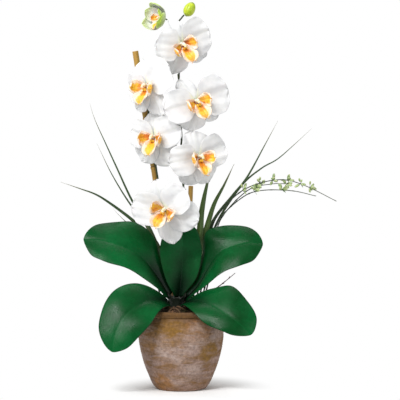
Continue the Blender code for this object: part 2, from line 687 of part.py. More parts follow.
def build_litter():
    """Dry roots, a bare twig and a chip of bark round the foot of the plant."""
    for name, points in ROOTS_MM.items():
        path = smooth_path(metres(points), 9)
        radii = [ROOT_RADIUS * (1 - 0.05 * i) for i in range(9)]
        new_object(name, tube(name, path, radii, 7), "root_brown")
    path = smooth_path(on_soil(metres(TWIG_MM), 0.5 * MM), 12)
    radii = [TWIG_RADIUS * (1 - 0.045 * i) for i in range(12)]
    new_object("twig", tube("twig", path, radii, 7), "twig_maroon")
    bm = bmesh.new()
    bmesh.ops.create_cube(bm, size=1.0)
    bmesh.ops.scale(bm, verts=bm.verts, vec=Vector(CHIP_SIZE_MM) * MM)
    bmesh.ops.bevel(bm, geom=bm.edges[:], offset=1.2 * MM, segments=1, affect="EDGES")
    chip = new_object("bark_chip", closed_mesh("bark_chip", bm), "root_brown", smooth=False)
    chip.location = Vector(CHIP_CENTRE_MM) * MM
    chip.rotation_euler = (math.radians(-8), math.radians(10), math.radians(12))


def main():
    clear_scene()
    build_pot()
    build_soil()
    build_crown()
    build_leaves()
    build_blades()
    build_sprigs()
    build_stakes()
    build_spikes()
    build_flowers()
    build_half_open()
    build_bud()
    build_litter()


main()
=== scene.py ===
"""Visual model of the potted moth orchid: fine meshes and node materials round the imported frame.

Lengths are in metres, or in millimetres where a name ends in _MM. +Z is up and the flowers face -Y.
"""
import math

import bmesh
import bpy
import numpy as np
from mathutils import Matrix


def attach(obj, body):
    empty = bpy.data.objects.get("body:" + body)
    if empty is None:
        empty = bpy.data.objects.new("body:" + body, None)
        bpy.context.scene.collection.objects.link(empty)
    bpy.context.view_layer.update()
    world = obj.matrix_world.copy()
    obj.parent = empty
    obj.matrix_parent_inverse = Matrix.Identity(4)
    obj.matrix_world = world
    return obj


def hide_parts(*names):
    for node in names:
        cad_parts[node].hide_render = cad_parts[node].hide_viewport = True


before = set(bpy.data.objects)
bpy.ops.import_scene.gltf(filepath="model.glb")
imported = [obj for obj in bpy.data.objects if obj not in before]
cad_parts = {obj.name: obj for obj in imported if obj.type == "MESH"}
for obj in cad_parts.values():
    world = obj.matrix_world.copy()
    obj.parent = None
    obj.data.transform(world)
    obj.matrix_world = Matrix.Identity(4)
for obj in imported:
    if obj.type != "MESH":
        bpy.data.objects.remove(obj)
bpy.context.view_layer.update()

MM = 0.001
TAU = 2 * math.pi

# ---------------------------------------------------------------- dimensions, as in the solid model

POT_OUTER_MM = [
    (40, 0), (44, 1), (50.5, 9), (57.5, 25), (64.4, 42), (70, 62), (73.6, 80),
    (74.7, 92), (73, 108), (68.5, 119), (64.5, 126), (66.2, 128.5), (66.4, 134), (64.5, 137),
]
POT_INNER_MM = [(62.5, 137.2), (60.4, 135.4), (59.6, 126), (61, 116), (66, 106), (67, 92), (60, 60)]
SOIL_EDGE_MM, SOIL_MOUND_MM, SOIL_RADIUS_MM = 122, 18, 59
CROWN_MM = (-7, 0)

LEAVES_MM = {
    "leaf_upper_left": (
        [(-15, 14, 166), (-36, 17, 228), (-52, 24, 266), (-79, 30, 285), (-112, 30, 287),
         (-143, 23, 284), (-163, 15, 281)],
        [(-20, 6, 157), (-42, 2, 194), (-66, 0, 224), (-92, -2, 241), (-121, -4, 252),
         (-147, -3, 257), (-169, 0, 258)],
        [(-21, -3, 153), (-43, -16, 175), (-68, -26, 195), (-97, -32, 211), (-127, -32, 220),
         (-150, -25, 228), (-165, -17, 236)],
    ),
    "leaf_upper_right": (
        [(1, 16, 156), (27, 15, 188), (37, 20, 228), (43, 26, 268), (71, 30, 280),
         (112, 24, 279), (137, 15, 275)],
        [(6, 7, 152), (31, 4, 178), (49, 4, 210), (66, 2, 234), (90, -2, 246),
         (118, -3, 252), (142, 0, 250)],
        [(9, -3, 149), (31, -14, 169), (54, -22, 187), (77, -28, 205), (101, -28, 213),
         (124, -22, 222), (139, -17, 230)],
    ),
    "leaf_centre": (
        [(-11, 9, 157), (-26, 1, 187), (-36, 2, 225), (-35, 5.5, 253), (-26, 7, 274), (-15, 9, 288)],
        [(-4, 13, 155), (0, 13, 188), (3, 13, 225), (3, 13, 252), (3, 13, 274), (1, 12, 290)],
        [(2, 10, 158), (26, 2, 189), (36, 5, 229), (34, 8, 254), (28, 10, 273), (18, 11, 287)],
    ),
    "leaf_lower_left": (
        [(-23, -7, 153), (-43, -16, 171), (-77, -32, 184), (-107, -48, 178), (-128, -64, 154),
         (-138, -80, 118), (-136, -92, 85)],
        [(-20, -13, 147), (-34, -36, 156), (-57, -56, 156), (-80, -72, 144), (-98, -85, 125),
         (-109, -94, 101), (-114, -100, 75)],
        [(-17, -19, 144), (-27, -48, 145), (-37, -70, 139), (-51, -86, 119), (-68, -96, 102),
         (-84, -101, 84), (-97, -101.5, 70)],
    ),
    "leaf_lower_right": (
        [(8, -9, 150), (26, -14, 163), (55, -28, 176), (86, -42, 180), (111, -58, 160),
         (128, -74, 133), (132, -84, 108)],
        [(3, -14, 147), (17, -36, 153), (38, -56, 153), (63, -72, 144), (85, -84, 131),
         (103, -90, 117), (117, -92, 102)],
        [(-2, -19, 145), (8, -48, 146), (20, -70, 140), (38, -84, 123), (62, -94, 112),
         (82, -98, 104), (98, -97, 96)],
    ),
}

LEAF_ROUNDING_START, LEAF_BLUNTNESS = 0.74, 3.2

BLADES_MM = {
    "grass_left_1": (4.0, [(-14, 35, 124), (-28, 38, 200), (-42, 38, 246), (-62, 32, 289),
                           (-85, 14, 324), (-110, -4, 380), (-130, -6, 424), (-148, -6, 464),
                           (-157, -6, 492)]),
    "grass_left_2": (3.6, [(-18, 41, 124), (-33, 44, 200), (-48, 44, 248), (-68, 39, 291),
                           (-91, 23, 321), (-120, 10, 370), (-146, 6, 424)]),
    "grass_left_3": (6.0, [(-24, 45, 124), (-40, 51, 205), (-56, 53, 252), (-73, 51, 276),
                           (-92, 46, 294), (-124, 30, 319), (-148, 14, 335), (-174, 6, 345),
                           (-208, -2, 357)]),
    "grass_left_4": (3.2, [(-31, 43, 124), (-53, 58, 222), (-78, 61, 268), (-102, 59, 289),
                           (-121, 57, 309)]),
    "grass_left_5": (4.6, [(-12, 29, 124), (-26, 31, 200), (-38, 31, 243), (-51, 31, 264),
                           (-64, 27, 286)]),
    "grass_right_1": (12.6, [(4, 31, 124), (13, 33, 180), (25, 35, 230), (32, 35, 264),
                             (35, 30, 299), (40, 25, 329), (45, 22, 352), (53, 18, 390)]),
    "grass_right_2": (10.2, [(12, 36, 124), (22, 41, 190), (34, 43, 240), (46, 36, 281),
                            (58, 22, 319), (75, 12, 352), (92, 8, 388)]),
    "grass_right_3": (5.0, [(16, 42, 124), (28, 48, 190), (41, 50, 240), (56, 44, 288),
                            (90, 32, 333), (115, 22, 365), (146, 14, 422), (168, 8, 463)]),
    "grass_right_4": (4.0, [(22, 44, 124), (35, 54, 190), (48, 58, 240), (66, 56, 290),
                            (106, 46, 350), (140, 38, 380), (169, 33, 397), (201, 30, 425),
                            (228, 28, 450)]),
}

SPRIGS_MM = {
    "sprig_front": ([(30, 28, 124), (46, 42, 190), (55, 44, 240), (64, 36, 287), (104, 18, 328),
                     (138, 8, 342), (191, -4, 342), (233, -8, 333)], (0.70, 0.84)),
    "sprig_middle": ([(26, 34, 124), (40, 44, 190), (48, 46, 240), (59, 40, 289), (93, 24, 331),
                      (128, 14, 352), (174, 4, 361), (214, 0, 351), (268.6, -4, 324)],
                     (0.58, 0.66, 0.72, 0.78, 0.84, 0.88)),
    "sprig_back": ([(34, 34, 124), (50, 50, 190), (58, 56, 240), (70, 52, 291), (116, 42, 341),
                    (159, 34, 353), (191, 28, 353)], (0.80, 0.98)),
}

STAKES_MM = {
    "stake_left": (5.0, (-9, 20, 122), (-79, 4, 583)),
    "stake_right": (4.0, (8, 23, 122), (17, 14, 350)),
}

SPIKE_RIGHT_MM = [
    (-1, 19.5, 124), (0, 20, 180), (3, 19, 240), (6, 17, 290), (7, 12, 320), (6, 8.5, 337),
    (3, 8, 360), (0, 8, 412), (1, 8, 437), (-3, 8, 482), (-4, 8, 525), (-3, 7, 550), (0, 6, 585),
    (-3, 4, 615), (-4, 2, 632), (1, 1, 640), (5.5, 0, 645),
]
SPIKE_LEFT_MM = [
    (0, 28, 124), (-2, 26, 170), (-9, 23, 210), (-18, 20.5, 250), (-26, 15, 295),
    (-33, 8.5, 325), (-42, 4.5, 374), (-57, 1, 480), (-61, -1, 506),
]
SPIKE_RADIUS_MM, PEDICEL_RADIUS_MM, PEDICEL_DROP_MM = 2.1, 1.3, 12

FLOWERS = {
    "a": dict(centre=(2, -32, 592), yaw=25, pitch=-12, roll=32,
              petals=[(30, 56, 62), (184, 48, 52)],
              sepals=[(120, 46, 30), (262, 54, 38), (338, 57, 34)], spike="right"),
    "b": dict(centre=(-57, -33, 521), yaw=-38, pitch=-4, roll=-6,
              petals=[(34, 57, 60), (184, 47, 48)],
              sepals=[(112, 50, 46), (226, 53, 40), (293, 55, 38)], spike="left"),
    "c": dict(centre=(27, -42, 494), yaw=18, pitch=-2, roll=24,
              petals=[(22, 61, 64), (194, 59, 54)],
              sepals=[(130, 46, 28), (258, 50, 44), (330, 49, 34)], spike="right"),
    "d": dict(centre=(-46, -22, 434), yaw=-25, pitch=-3, roll=-4,
              petals=[(21, 53, 52), (166, 48, 46)],
              sepals=[(96, 44, 38), (234, 51, 42), (300, 54, 48)], spike="left"),
    "e": dict(centre=(31, -36, 400), yaw=30, pitch=-2, roll=6,
              petals=[(22, 58, 52), (190, 57, 50)],
              sepals=[(98, 45, 44), (246, 51, 42), (303, 51, 42)], spike="right"),
    "f": dict(centre=(-27, -44, 311), yaw=-14, pitch=-8, roll=-28,
              petals=[(42, 50, 50), (177, 60, 54)],
              sepals=[(110, 52, 46), (280, 62, 38), (340, 59, 50)], spike="left"),
}
HALF_OPEN = dict(centre=(-32, -7, 638), yaw=-56, pitch=6, roll=-12, spike="right")
HALF_OPEN_SEPALS = ((90, 1.0), (210, 1.0), (330, 0.78))
HALF_OPEN_PETALS = ((30, 0.7), (150, 1.0))
BUD_CENTRE_MM, BUD_LENGTH_MM, BUD_WIDTH_MM, BUD_TILT = (15, 0, 655), 26, 21, math.radians(28)
SEPAL_LEVEL_MM, LIP_LEVEL_MM, HUB_MM = -2.6, 2.4, 3.0

ROOTS_MM = {
    "root_left": [(-14, -27, 139), (-16, -30, 139.5), (-22, -40, 134), (-28, -47, 126)],
    "root_right": [(-10, -27, 140), (-8, -31, 140.5), (-3, -40, 137), (2, -48, 130)],
}
TWIG_MM = [(24, 6, 128), (34, -2, 150), (50, -12, 167), (68, -20, 180), (93, -36, 202)]
CHIP_CENTRE_MM, CHIP_SIZE_MM = (-14, -51.5, 133.5), (14, 5, 9)


# ---------------------------------------------------------------- curves, noise and meshes

def curve(points, t):
    """Points at t (0 to 1) on a Catmull-Rom curve through evenly spaced points."""
    p = np.asarray(points, float)
    last = len(p) - 1
    place = np.clip(np.asarray(t, float), 0, 1) * last
    i = np.minimum(place.astype(int), last - 1)
    f = (place - i)[..., None]
    pad = np.vstack([2 * p[0] - p[1], p, 2 * p[-1] - p[-2]])
    p0, p1, p2, p3 = pad[i], pad[i + 1], pad[i + 2], pad[i + 3]
    return 0.5 * (2 * p1 + (p2 - p0) * f + (2 * p0 - 5 * p1 + 4 * p2 - p3) * f ** 2
                  + (3 * p1 - p0 - 3 * p2 + p3) * f ** 3)


def even_path(points, count):
    """Points on the curve, evenly spaced by length."""
    fine = curve(points, np.linspace(0, 1, 801))
    run = np.concatenate([[0], np.cumsum(np.linalg.norm(np.diff(fine, axis=0), axis=1))])
    wanted = np.linspace(0, run[-1], count)
    return np.stack([np.interp(wanted, run, fine[:, k]) for k in range(3)], axis=1)


def unit(v):
    return v / np.maximum(np.linalg.norm(v, axis=-1, keepdims=True), 1e-12)


def cell_value(a, b, c, seed):
    """A repeatable pseudo-random number from -1 to 1 for each cell of a grid."""
    n = (a * 73856093) ^ (b * 19349663) ^ (c * 83492791) ^ (seed * 2654435)
    n = (n ^ (n >> 13)) * 1274126177 & 0x7FFFFFFF
    n = (n ^ (n >> 15)) * 60493 & 0x7FFFFFFF
    return (n & 0xFFFF) / 32767.5 - 1


def noise(points, size, seed=0, layers=1):
    """Smooth noise (-1 to 1) at points, with features about as large as size."""
    total, weight, points = 0.0, 1.0, np.asarray(points, float)
    for layer in range(layers):
        q = points / size * 2 ** layer + 31.7 * (seed + 1) + 7.1 * layer
        i = np.floor(q).astype(np.int64)
        f = q - i
        f = f * f * (3 - 2 * f)
        x, y, z = i[..., 0], i[..., 1], i[..., 2]
        for dx in (0, 1):
            for dy in (0, 1):
                for dz in (0, 1):
                    share = (f[..., 0] if dx else 1 - f[..., 0]) \
                        * (f[..., 1] if dy else 1 - f[..., 1]) * (f[..., 2] if dz else 1 - f[..., 2])
                    total = total + weight * share * cell_value(x + dx, y + dy, z + dz, seed + layer)
        weight *= 0.5
    return total


def grid_quads(rows, columns, ring=False):
    """Faces of a grid of vertices numbered row by row. A ring joins its last column to its first."""
    n = columns if ring else columns + 1
    i, j = np.meshgrid(np.arange(rows), np.arange(columns), indexing="ij")
    a, b = i * n + j, i * n + (j + 1) % n
    return np.stack([a, b, b + n, a + n], axis=-1).reshape(-1, 4)


class Shape:
    """Gathers the vertices, marks and faces of one piece. Points come in millimetres.

    A vertex's mark is (along, across, side or kind), each read by the materials.
    """

    def __init__(self):
        self.points, self.marks, self.tones, self.faces, self.slots, self.count = [], [], [], [], [], 0

    def add(self, points, marks, faces, tone=0.5, slot=0):
        points = np.asarray(points, float).reshape(-1, 3)
        self.points.append(points)
        self.marks.append(np.broadcast_to(np.asarray(marks, float), points.shape).reshape(-1, 3))
        self.tones.append(np.broadcast_to(np.asarray(tone, float), (len(points),)))
        self.faces += [tuple(int(k) + self.count for k in face) for face in faces]
        self.slots += [slot] * len(faces)
        self.count += len(points)

    def sheet(self, grid, half, u, t, tone=0.5, slot=0):
        """Closed thin sheet from a grid of points, with a half thickness that ends at the rim."""
        n, m = grid.shape[:2]
        normal = unit(np.cross(np.gradient(grid, axis=0), np.gradient(grid, axis=1)))
        half = np.broadcast_to(half, (n, m)).copy()
        half[0], half[-1], half[:, 0], half[:, -1] = 0, 0, 0, 0
        top, low = grid + normal * half[..., None], grid - normal * half[..., None]
        upper = np.arange(n * m).reshape(n, m)
        lower = upper.copy()
        lower[1:-1, 1:-1] = n * m + np.arange((n - 2) * (m - 2)).reshape(n - 2, m - 2)
        rim = np.ones((n, m))
        rim[0], rim[-1], rim[:, 0], rim[:, -1] = 0.5, 0.5, 0.5, 0.5
        marks = np.stack([u, t, rim], axis=-1)
        below = marks[1:-1, 1:-1] * (1, 1, 0)
        quads = grid_quads(n - 1, m - 1)
        faces = [*upper.reshape(-1)[quads], *lower.reshape(-1)[quads][:, ::-1]]
        self.add(np.vstack([top.reshape(-1, 3), low[1:-1, 1:-1].reshape(-1, 3)]),
                 np.vstack([marks.reshape(-1, 3), below.reshape(-1, 3)]), faces, tone, slot)

    def tube(self, path, radii, sides=12, kind=0.0, tone=0.5, slot=0, relief=None):
        """Closed tube along a path. The relief gives extra radius from (ring, side) points."""
        path, radii = np.asarray(path, float), np.broadcast_to(radii, (len(path),)).astype(float)
        ahead = unit(np.gradient(path, axis=0))
        side = np.array([1.0, 0, 0]) if abs(ahead[0][0]) < 0.9 else np.array([0, 1.0, 0])
        turns = np.arange(sides) * TAU / sides
        rings = []
        for centre, direction, radius in zip(path, ahead, radii):
            side = unit(side - direction * side.dot(direction))
            up = np.cross(direction, side)
            spokes = np.outer(np.cos(turns), side) + np.outer(np.sin(turns), up)
            rings.append(centre + spokes * radius)
        rings = np.array(rings)
        if relief is not None:
            away = unit(rings - path[:, None])
            rings = rings + away * relief(rings)[..., None]
        n = len(path)
        u = np.repeat(np.linspace(0, 1, n), sides)
        t = np.tile(np.arange(sides) / sides, n)
        ends = np.array([path[0] - ahead[0] * radii[0] * 0.3, path[-1] + ahead[-1] * radii[-1] * 0.3])
        faces = list(grid_quads(n - 1, sides, ring=True))
        first, last = n * sides, (n - 1) * sides
        faces += [(first, (k + 1) % sides, k) for k in range(sides)]
        faces += [(first + 1, last + k, last + (k + 1) % sides) for k in range(sides)]
        marks = np.stack([u, t, np.full(len(u), kind)], axis=-1)
        marks = np.vstack([marks, [(0, 0.5, kind), (1, 0.5, kind)]])
        self.add(np.vstack([rings.reshape(-1, 3), ends]), marks, faces, tone, slot)

    def blob(self, centre, axes, sizes, rows=10, columns=14, kind=0.0, tone=0.5, slot=0, form=None):
        """Closed rounded body. The form changes its unit-sphere points before they are sized."""
        v = np.linspace(0, math.pi, rows + 1)[1:-1]
        a = np.arange(columns) * TAU / columns
        ball = np.stack([np.outer(np.sin(v), np.cos(a)), np.outer(np.sin(v), np.sin(a)),
                         np.outer(np.cos(v), np.ones(columns))], axis=-1).reshape(-1, 3)
        ball = np.vstack([ball, (0, 0, 1), (0, 0, -1)])
        marks = np.stack([(ball[:, 2] + 1) / 2, np.arctan2(ball[:, 1], ball[:, 0]) / TAU + 0.5,
                          np.full(len(ball), kind)], axis=-1)
        if form is not None:
            ball = form(ball)
        rings = len(v)
        faces = [q[::-1] for q in grid_quads(rings - 1, columns, ring=True)]
        top, low, last = rings * columns, rings * columns + 1, (rings - 1) * columns
        faces += [(top, k, (k + 1) % columns) for k in range(columns)]
        faces += [(low, last + (k + 1) % columns, last + k) for k in range(columns)]
        self.add(np.asarray(centre) + (ball * sizes) @ np.asarray(axes, float), marks, faces, tone, slot)

    def build(self, name, nodes, materials):
        """Make the object, put it on the body and hide the frame's pieces for the nodes it stands for."""
        mesh = bpy.data.meshes.new(name)
        mesh.from_pydata(np.vstack(self.points) * MM, [], self.faces)
        for key, kind, values in (("mark", "FLOAT_VECTOR", np.vstack(self.marks)),
                                  ("tone", "FLOAT", np.concatenate(self.tones))):
            layer = mesh.attributes.new(key, kind, "POINT")
            layer.data.foreach_set("vector" if kind == "FLOAT_VECTOR" else "value", values.ravel())
        for material in materials:
            mesh.materials.append(material)
        mesh.polygons.foreach_set("material_index", self.slots)
        bm = bmesh.new()
        bm.from_mesh(mesh)
        bmesh.ops.recalc_face_normals(bm, faces=bm.faces)
        bm.to_mesh(mesh)
        bm.free()
        mesh.shade_smooth()
        item = bpy.data.objects.new(name, mesh)
        bpy.context.scene.collection.objects.link(item)
        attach(item, "root")
        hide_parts(*nodes)
        return item


def axes_along(direction, spin=0.0):
    """Three unit rows: two across a direction and the direction itself."""
    d = unit(np.asarray(direction, float))
    side = unit(np.cross(d, (0, 1, 0) if abs(d[1]) < 0.9 else (1, 0, 0)))
    up = np.cross(d, side)
    return np.array([side * math.cos(spin) + up * math.sin(spin),
                     up * math.cos(spin) - side * math.sin(spin), d])


# ---------------------------------------------------------------- node materials

class Look:
    """A Principled material built from nodes."""

    def __init__(self, name, roughness=0.5, **settings):
        self.material = bpy.data.materials.new(name)
        self.material.use_nodes = True
        self.nodes, self.links = self.material.node_tree.nodes, self.material.node_tree.links
        self.shader = self.nodes["Principled BSDF"]
        self.shader.inputs["Roughness"].default_value = roughness
        for key, value in settings.items():
            self.shader.inputs[key.replace("_", " ")].default_value = value
        self.place = self.node("ShaderNodeTexCoord").outputs["Object"]
        mark = self.node("ShaderNodeAttribute", attribute_name="mark")
        split = self.node("ShaderNodeSeparateXYZ")
        self.links.new(mark.outputs["Vector"], split.inputs[0])
        self.along, self.across, self.kind = split.outputs
        self.mark = mark.outputs["Vector"]
        self.tone = self.node("ShaderNodeAttribute", attribute_name="tone").outputs["Fac"]

    def node(self, kind, **settings):
        made = self.nodes.new(kind)
        for key, value in settings.items():
            setattr(made, key, value)
        return made

    def put(self, socket, value):
        if isinstance(value, bpy.types.NodeSocket):
            self.links.new(value, socket)
        elif isinstance(value, tuple) and len(value) == 3 and socket.type == "RGBA":
            socket.default_value = (*value, 1.0)
        else:
            socket.default_value = value

    def math(self, operation, a, b=0.0, clamp=False):
        made = self.node("ShaderNodeMath", operation=operation, use_clamp=clamp)
        self.put(made.inputs[0], a)
        self.put(made.inputs[1], b)
        return made.outputs[0]

    def scaled(self, scale, vector=None, shift=(0, 0, 0)):
        made = self.node("ShaderNodeMapping")
        self.put(made.inputs["Vector"], vector or self.place)
        made.inputs["Location"].default_value = shift
        made.inputs["Scale"].default_value = scale
        return made.outputs[0]

    def noise(self, scale, detail=4.0, roughness=0.55, vector=None, distortion=0.0):
        made = self.node("ShaderNodeTexNoise")
        self.put(made.inputs["Vector"], vector or self.place)
        made.inputs["Scale"].default_value = scale
        made.inputs["Detail"].default_value = detail
        made.inputs["Roughness"].default_value = roughness
        made.inputs["Distortion"].default_value = distortion
        return made.outputs["Fac"]

    def cells(self, scale, vector=None, feature="F1"):
        made = self.node("ShaderNodeTexVoronoi", feature=feature)
        self.put(made.inputs["Vector"], vector or self.place)
        made.inputs["Scale"].default_value = scale
        return made.outputs["Distance"]

    def ramp(self, value, stops):
        made = self.node("ShaderNodeValToRGB")
        self.put(made.inputs[0], value)
        while len(made.color_ramp.elements) < len(stops):
            made.color_ramp.elements.new(0.5)
        for element, (place, colour) in zip(made.color_ramp.elements, stops):
            element.position = place
            element.color = (*colour, 1.0)
        return made.outputs["Color"]

    def range(self, value, low, high, to_low=0.0, to_high=1.0, smooth=True):
        made = self.node("ShaderNodeMapRange", interpolation_type="SMOOTHSTEP" if smooth else "LINEAR")
        for index, number in enumerate((value, low, high, to_low, to_high)):
            self.put(made.inputs[index], number)
        return made.outputs[0]

    def mix(self, share, a, b, blend="MIX"):
        made = self.node("ShaderNodeMix", data_type="RGBA", blend_type=blend)
        self.put(made.inputs["Factor"], share)
        self.put(made.inputs[6], a)
        self.put(made.inputs[7], b)
        return made.outputs[2]

    def near(self, centre_mm, radius_mm, vector=None):
        """1 at a place on the object, falling to 0 at a radius."""
        made = self.node("ShaderNodeVectorMath", operation="DISTANCE")
        self.put(made.inputs[0], vector or self.place)
        made.inputs[1].default_value = tuple(v * MM for v in centre_mm)
        return self.range(made.outputs["Value"], radius_mm * MM, radius_mm * MM * 0.35)

    def warped(self, amount_mm, size_mm):
        """Object coordinates pushed about by noise, for ragged patches."""
        made = self.node("ShaderNodeTexNoise")
        self.put(made.inputs["Vector"], self.place)
        made.inputs["Scale"].default_value = 1 / (size_mm * MM)
        made.inputs["Detail"].default_value = 5.0
        centred = self.node("ShaderNodeVectorMath", operation="SUBTRACT")
        self.put(centred.inputs[0], made.outputs["Color"])
        centred.inputs[1].default_value = (0.5, 0.5, 0.5)
        sized = self.node("ShaderNodeVectorMath", operation="SCALE")
        self.put(sized.inputs[0], centred.outputs[0])
        sized.inputs["Scale"].default_value = amount_mm * MM * 2
        moved = self.node("ShaderNodeVectorMath", operation="ADD")
        self.put(moved.inputs[0], self.place)
        self.put(moved.inputs[1], sized.outputs[0])
        return moved.outputs[0]

    def finish(self, colour, roughness=None, height=None, strength=0.3, distance_mm=0.3):
        self.put(self.shader.inputs["Base Color"], colour)
        if roughness is not None:
            self.put(self.shader.inputs["Roughness"], roughness)
        if height is not None:
            bump = self.node("ShaderNodeBump")
            bump.inputs["Strength"].default_value = strength
            bump.inputs["Distance"].default_value = distance_mm * MM
            self.put(bump.inputs["Height"], height)
            self.links.new(bump.outputs[0], self.shader.inputs["Normal"])
        return self.material


def clay_look():
    """Old fired clay: tan and mauve, streaked round the pot, with lime bloom and ochre stains."""
    k = Look("weathered_clay_look", 0.88, Specular_IOR_Level=0.25)
    streak = k.noise(1.0, 6, 0.62, k.scaled((20, 20, 105)), 0.5)
    base = k.ramp(streak, [(0.32, (0.13, 0.062, 0.020)), (0.42, (0.215, 0.122, 0.060)),
                           (0.50, (0.245, 0.158, 0.115)), (0.62, (0.31, 0.218, 0.185))])
    ragged = k.warped(16, 30)
    low = k.ramp(k.noise(1.0, 5, 0.6, k.scaled((40, 40, 95), shift=(3, 1, 2))),
                 [(0.38, (0, 0, 0)), (0.62, (1, 1, 1))])
    patches = [((-18, -70, 112), 42, (0.20, 0.105, 0.024)), ((30, -64, 110), 30, (0.24, 0.105, 0.026)),
               ((50, -52, 66), 28, (0.21, 0.115, 0.032)), ((-34, -44, 10), 26, (0.27, 0.125, 0.034)),
               ((40, 55, 70), 36, (0.21, 0.115, 0.034)), ((-50, 45, 100), 34, (0.20, 0.10, 0.030)),
               ((-52, -50, 84), 26, (0.29, 0.155, 0.060)), ((0, 72, 30), 30, (0.25, 0.125, 0.042))]
    for centre, radius, colour in patches:
        share = k.math("MULTIPLY", k.near(centre, radius, ragged), k.math("ADD", low, 0.25), True)
        base = k.mix(share, base, colour)
    lime = k.ramp(k.noise(1.0, 7, 0.68, k.scaled((26, 26, 95), shift=(8, 5, 1)), 0.8),
                  [(0.40, (0.12, 0.12, 0.12)), (0.60, (1, 1, 1))])
    blooms = [((30, -66, 96), 30), ((58, -40, 92), 22), ((22, -70, 74), 20), ((-4, -72, 66), 24),
              ((-26, -66, 70), 22), ((20, -62, 34), 28), ((-30, 60, 84), 30), ((60, 30, 60), 26),
              ((-66, -10, 60), 26), ((-10, -56, 20), 20)]
    for centre, radius in blooms:
        share = k.math("MULTIPLY", k.near(centre, radius, ragged), lime)
        base = k.mix(k.math("MULTIPLY", share, 0.55), base, (0.42, 0.335, 0.30))
    height = k.node("ShaderNodeSeparateXYZ")
    k.put(height.inputs[0], ragged)
    stain = k.range(height.outputs[2], 0.112, 0.132)
    base = k.mix(k.math("MULTIPLY", stain, 0.88), base, (0.105, 0.052, 0.016))
    damp = k.range(height.outputs[2], 0.016, 0.0)
    base = k.mix(k.math("MULTIPLY", damp, 0.4), base, (0.27, 0.15, 0.085))
    mottle = k.noise(210, 5, 0.7)
    base = k.mix(1.0, base, k.ramp(mottle, [(0.34, (0.66, 0.64, 0.62)), (0.64, (1.18, 1.17, 1.16))]),
                 "MULTIPLY")
    pits = k.range(k.cells(420), 0.10, 0.24)
    base = k.mix(k.math("MULTIPLY", k.math("SUBTRACT", 1.0, pits), 0.5), base, (0.20, 0.12, 0.07))
    relief = k.math("ADD", k.math("MULTIPLY", mottle, 0.9), k.math("MULTIPLY", streak, 0.6))
    relief = k.math("ADD", relief, k.math("MULTIPLY", k.noise(900, 3), 0.35))
    relief = k.math("ADD", relief, k.math("MULTIPLY", pits, 0.35))
    return k.finish(base, k.range(mottle, 0.3, 0.7, 0.82, 0.97), relief, 0.55, 0.7)


def soil_look():
    k = Look("bark_mix_look", 0.95, Specular_IOR_Level=0.2)
    crumbs = k.noise(260, 6, 0.7)
    base = k.ramp(crumbs, [(0.32, (0.006, 0.004, 0.003)), (0.5, (0.022, 0.013, 0.008)),
                           (0.68, (0.06, 0.036, 0.021))])
    relief = k.math("ADD", crumbs, k.cells(170))
    return k.finish(base, k.range(crumbs, 0.3, 0.7, 0.85, 1.0), relief, 0.9, 1.2)


def bark_look():
    """Chips of bark: each its own brown, with layered grain and darker cracks."""
    k = Look("bark_chip_look", 0.9, Specular_IOR_Level=0.25)
    grain = k.noise(1.0, 5, 0.65, k.scaled((90, 300, 300)))
    body = k.mix(k.tone, (0.030, 0.016, 0.009), (0.16, 0.085, 0.045))
    base = k.mix(1.0, body, k.ramp(grain, [(0.35, (0.45, 0.42, 0.4)), (0.62, (1.35, 1.3, 1.25))]),
                 "MULTIPLY")
    cracks = k.range(k.cells(240, feature="DISTANCE_TO_EDGE"), 0.0, 0.10)
    base = k.mix(k.math("SUBTRACT", 1.0, cracks), base, (0.010, 0.006, 0.004))
    return k.finish(base, k.range(grain, 0.3, 0.7, 0.8, 0.98),
                    k.math("ADD", grain, k.math("MULTIPLY", cracks, 0.6)), 0.8, 0.8)


def moss_look():
    k = Look("moss_look", 0.9, Specular_IOR_Level=0.2)
    base = k.mix(k.tone, (0.022, 0.020, 0.008), (0.11, 0.10, 0.035))
    base = k.mix(k.noise(500, 3), base, (0.03, 0.022, 0.010))
    return k.finish(base, k.range(k.noise(300), 0.3, 0.7, 0.8, 0.98), k.noise(1500), 0.4, 0.2)


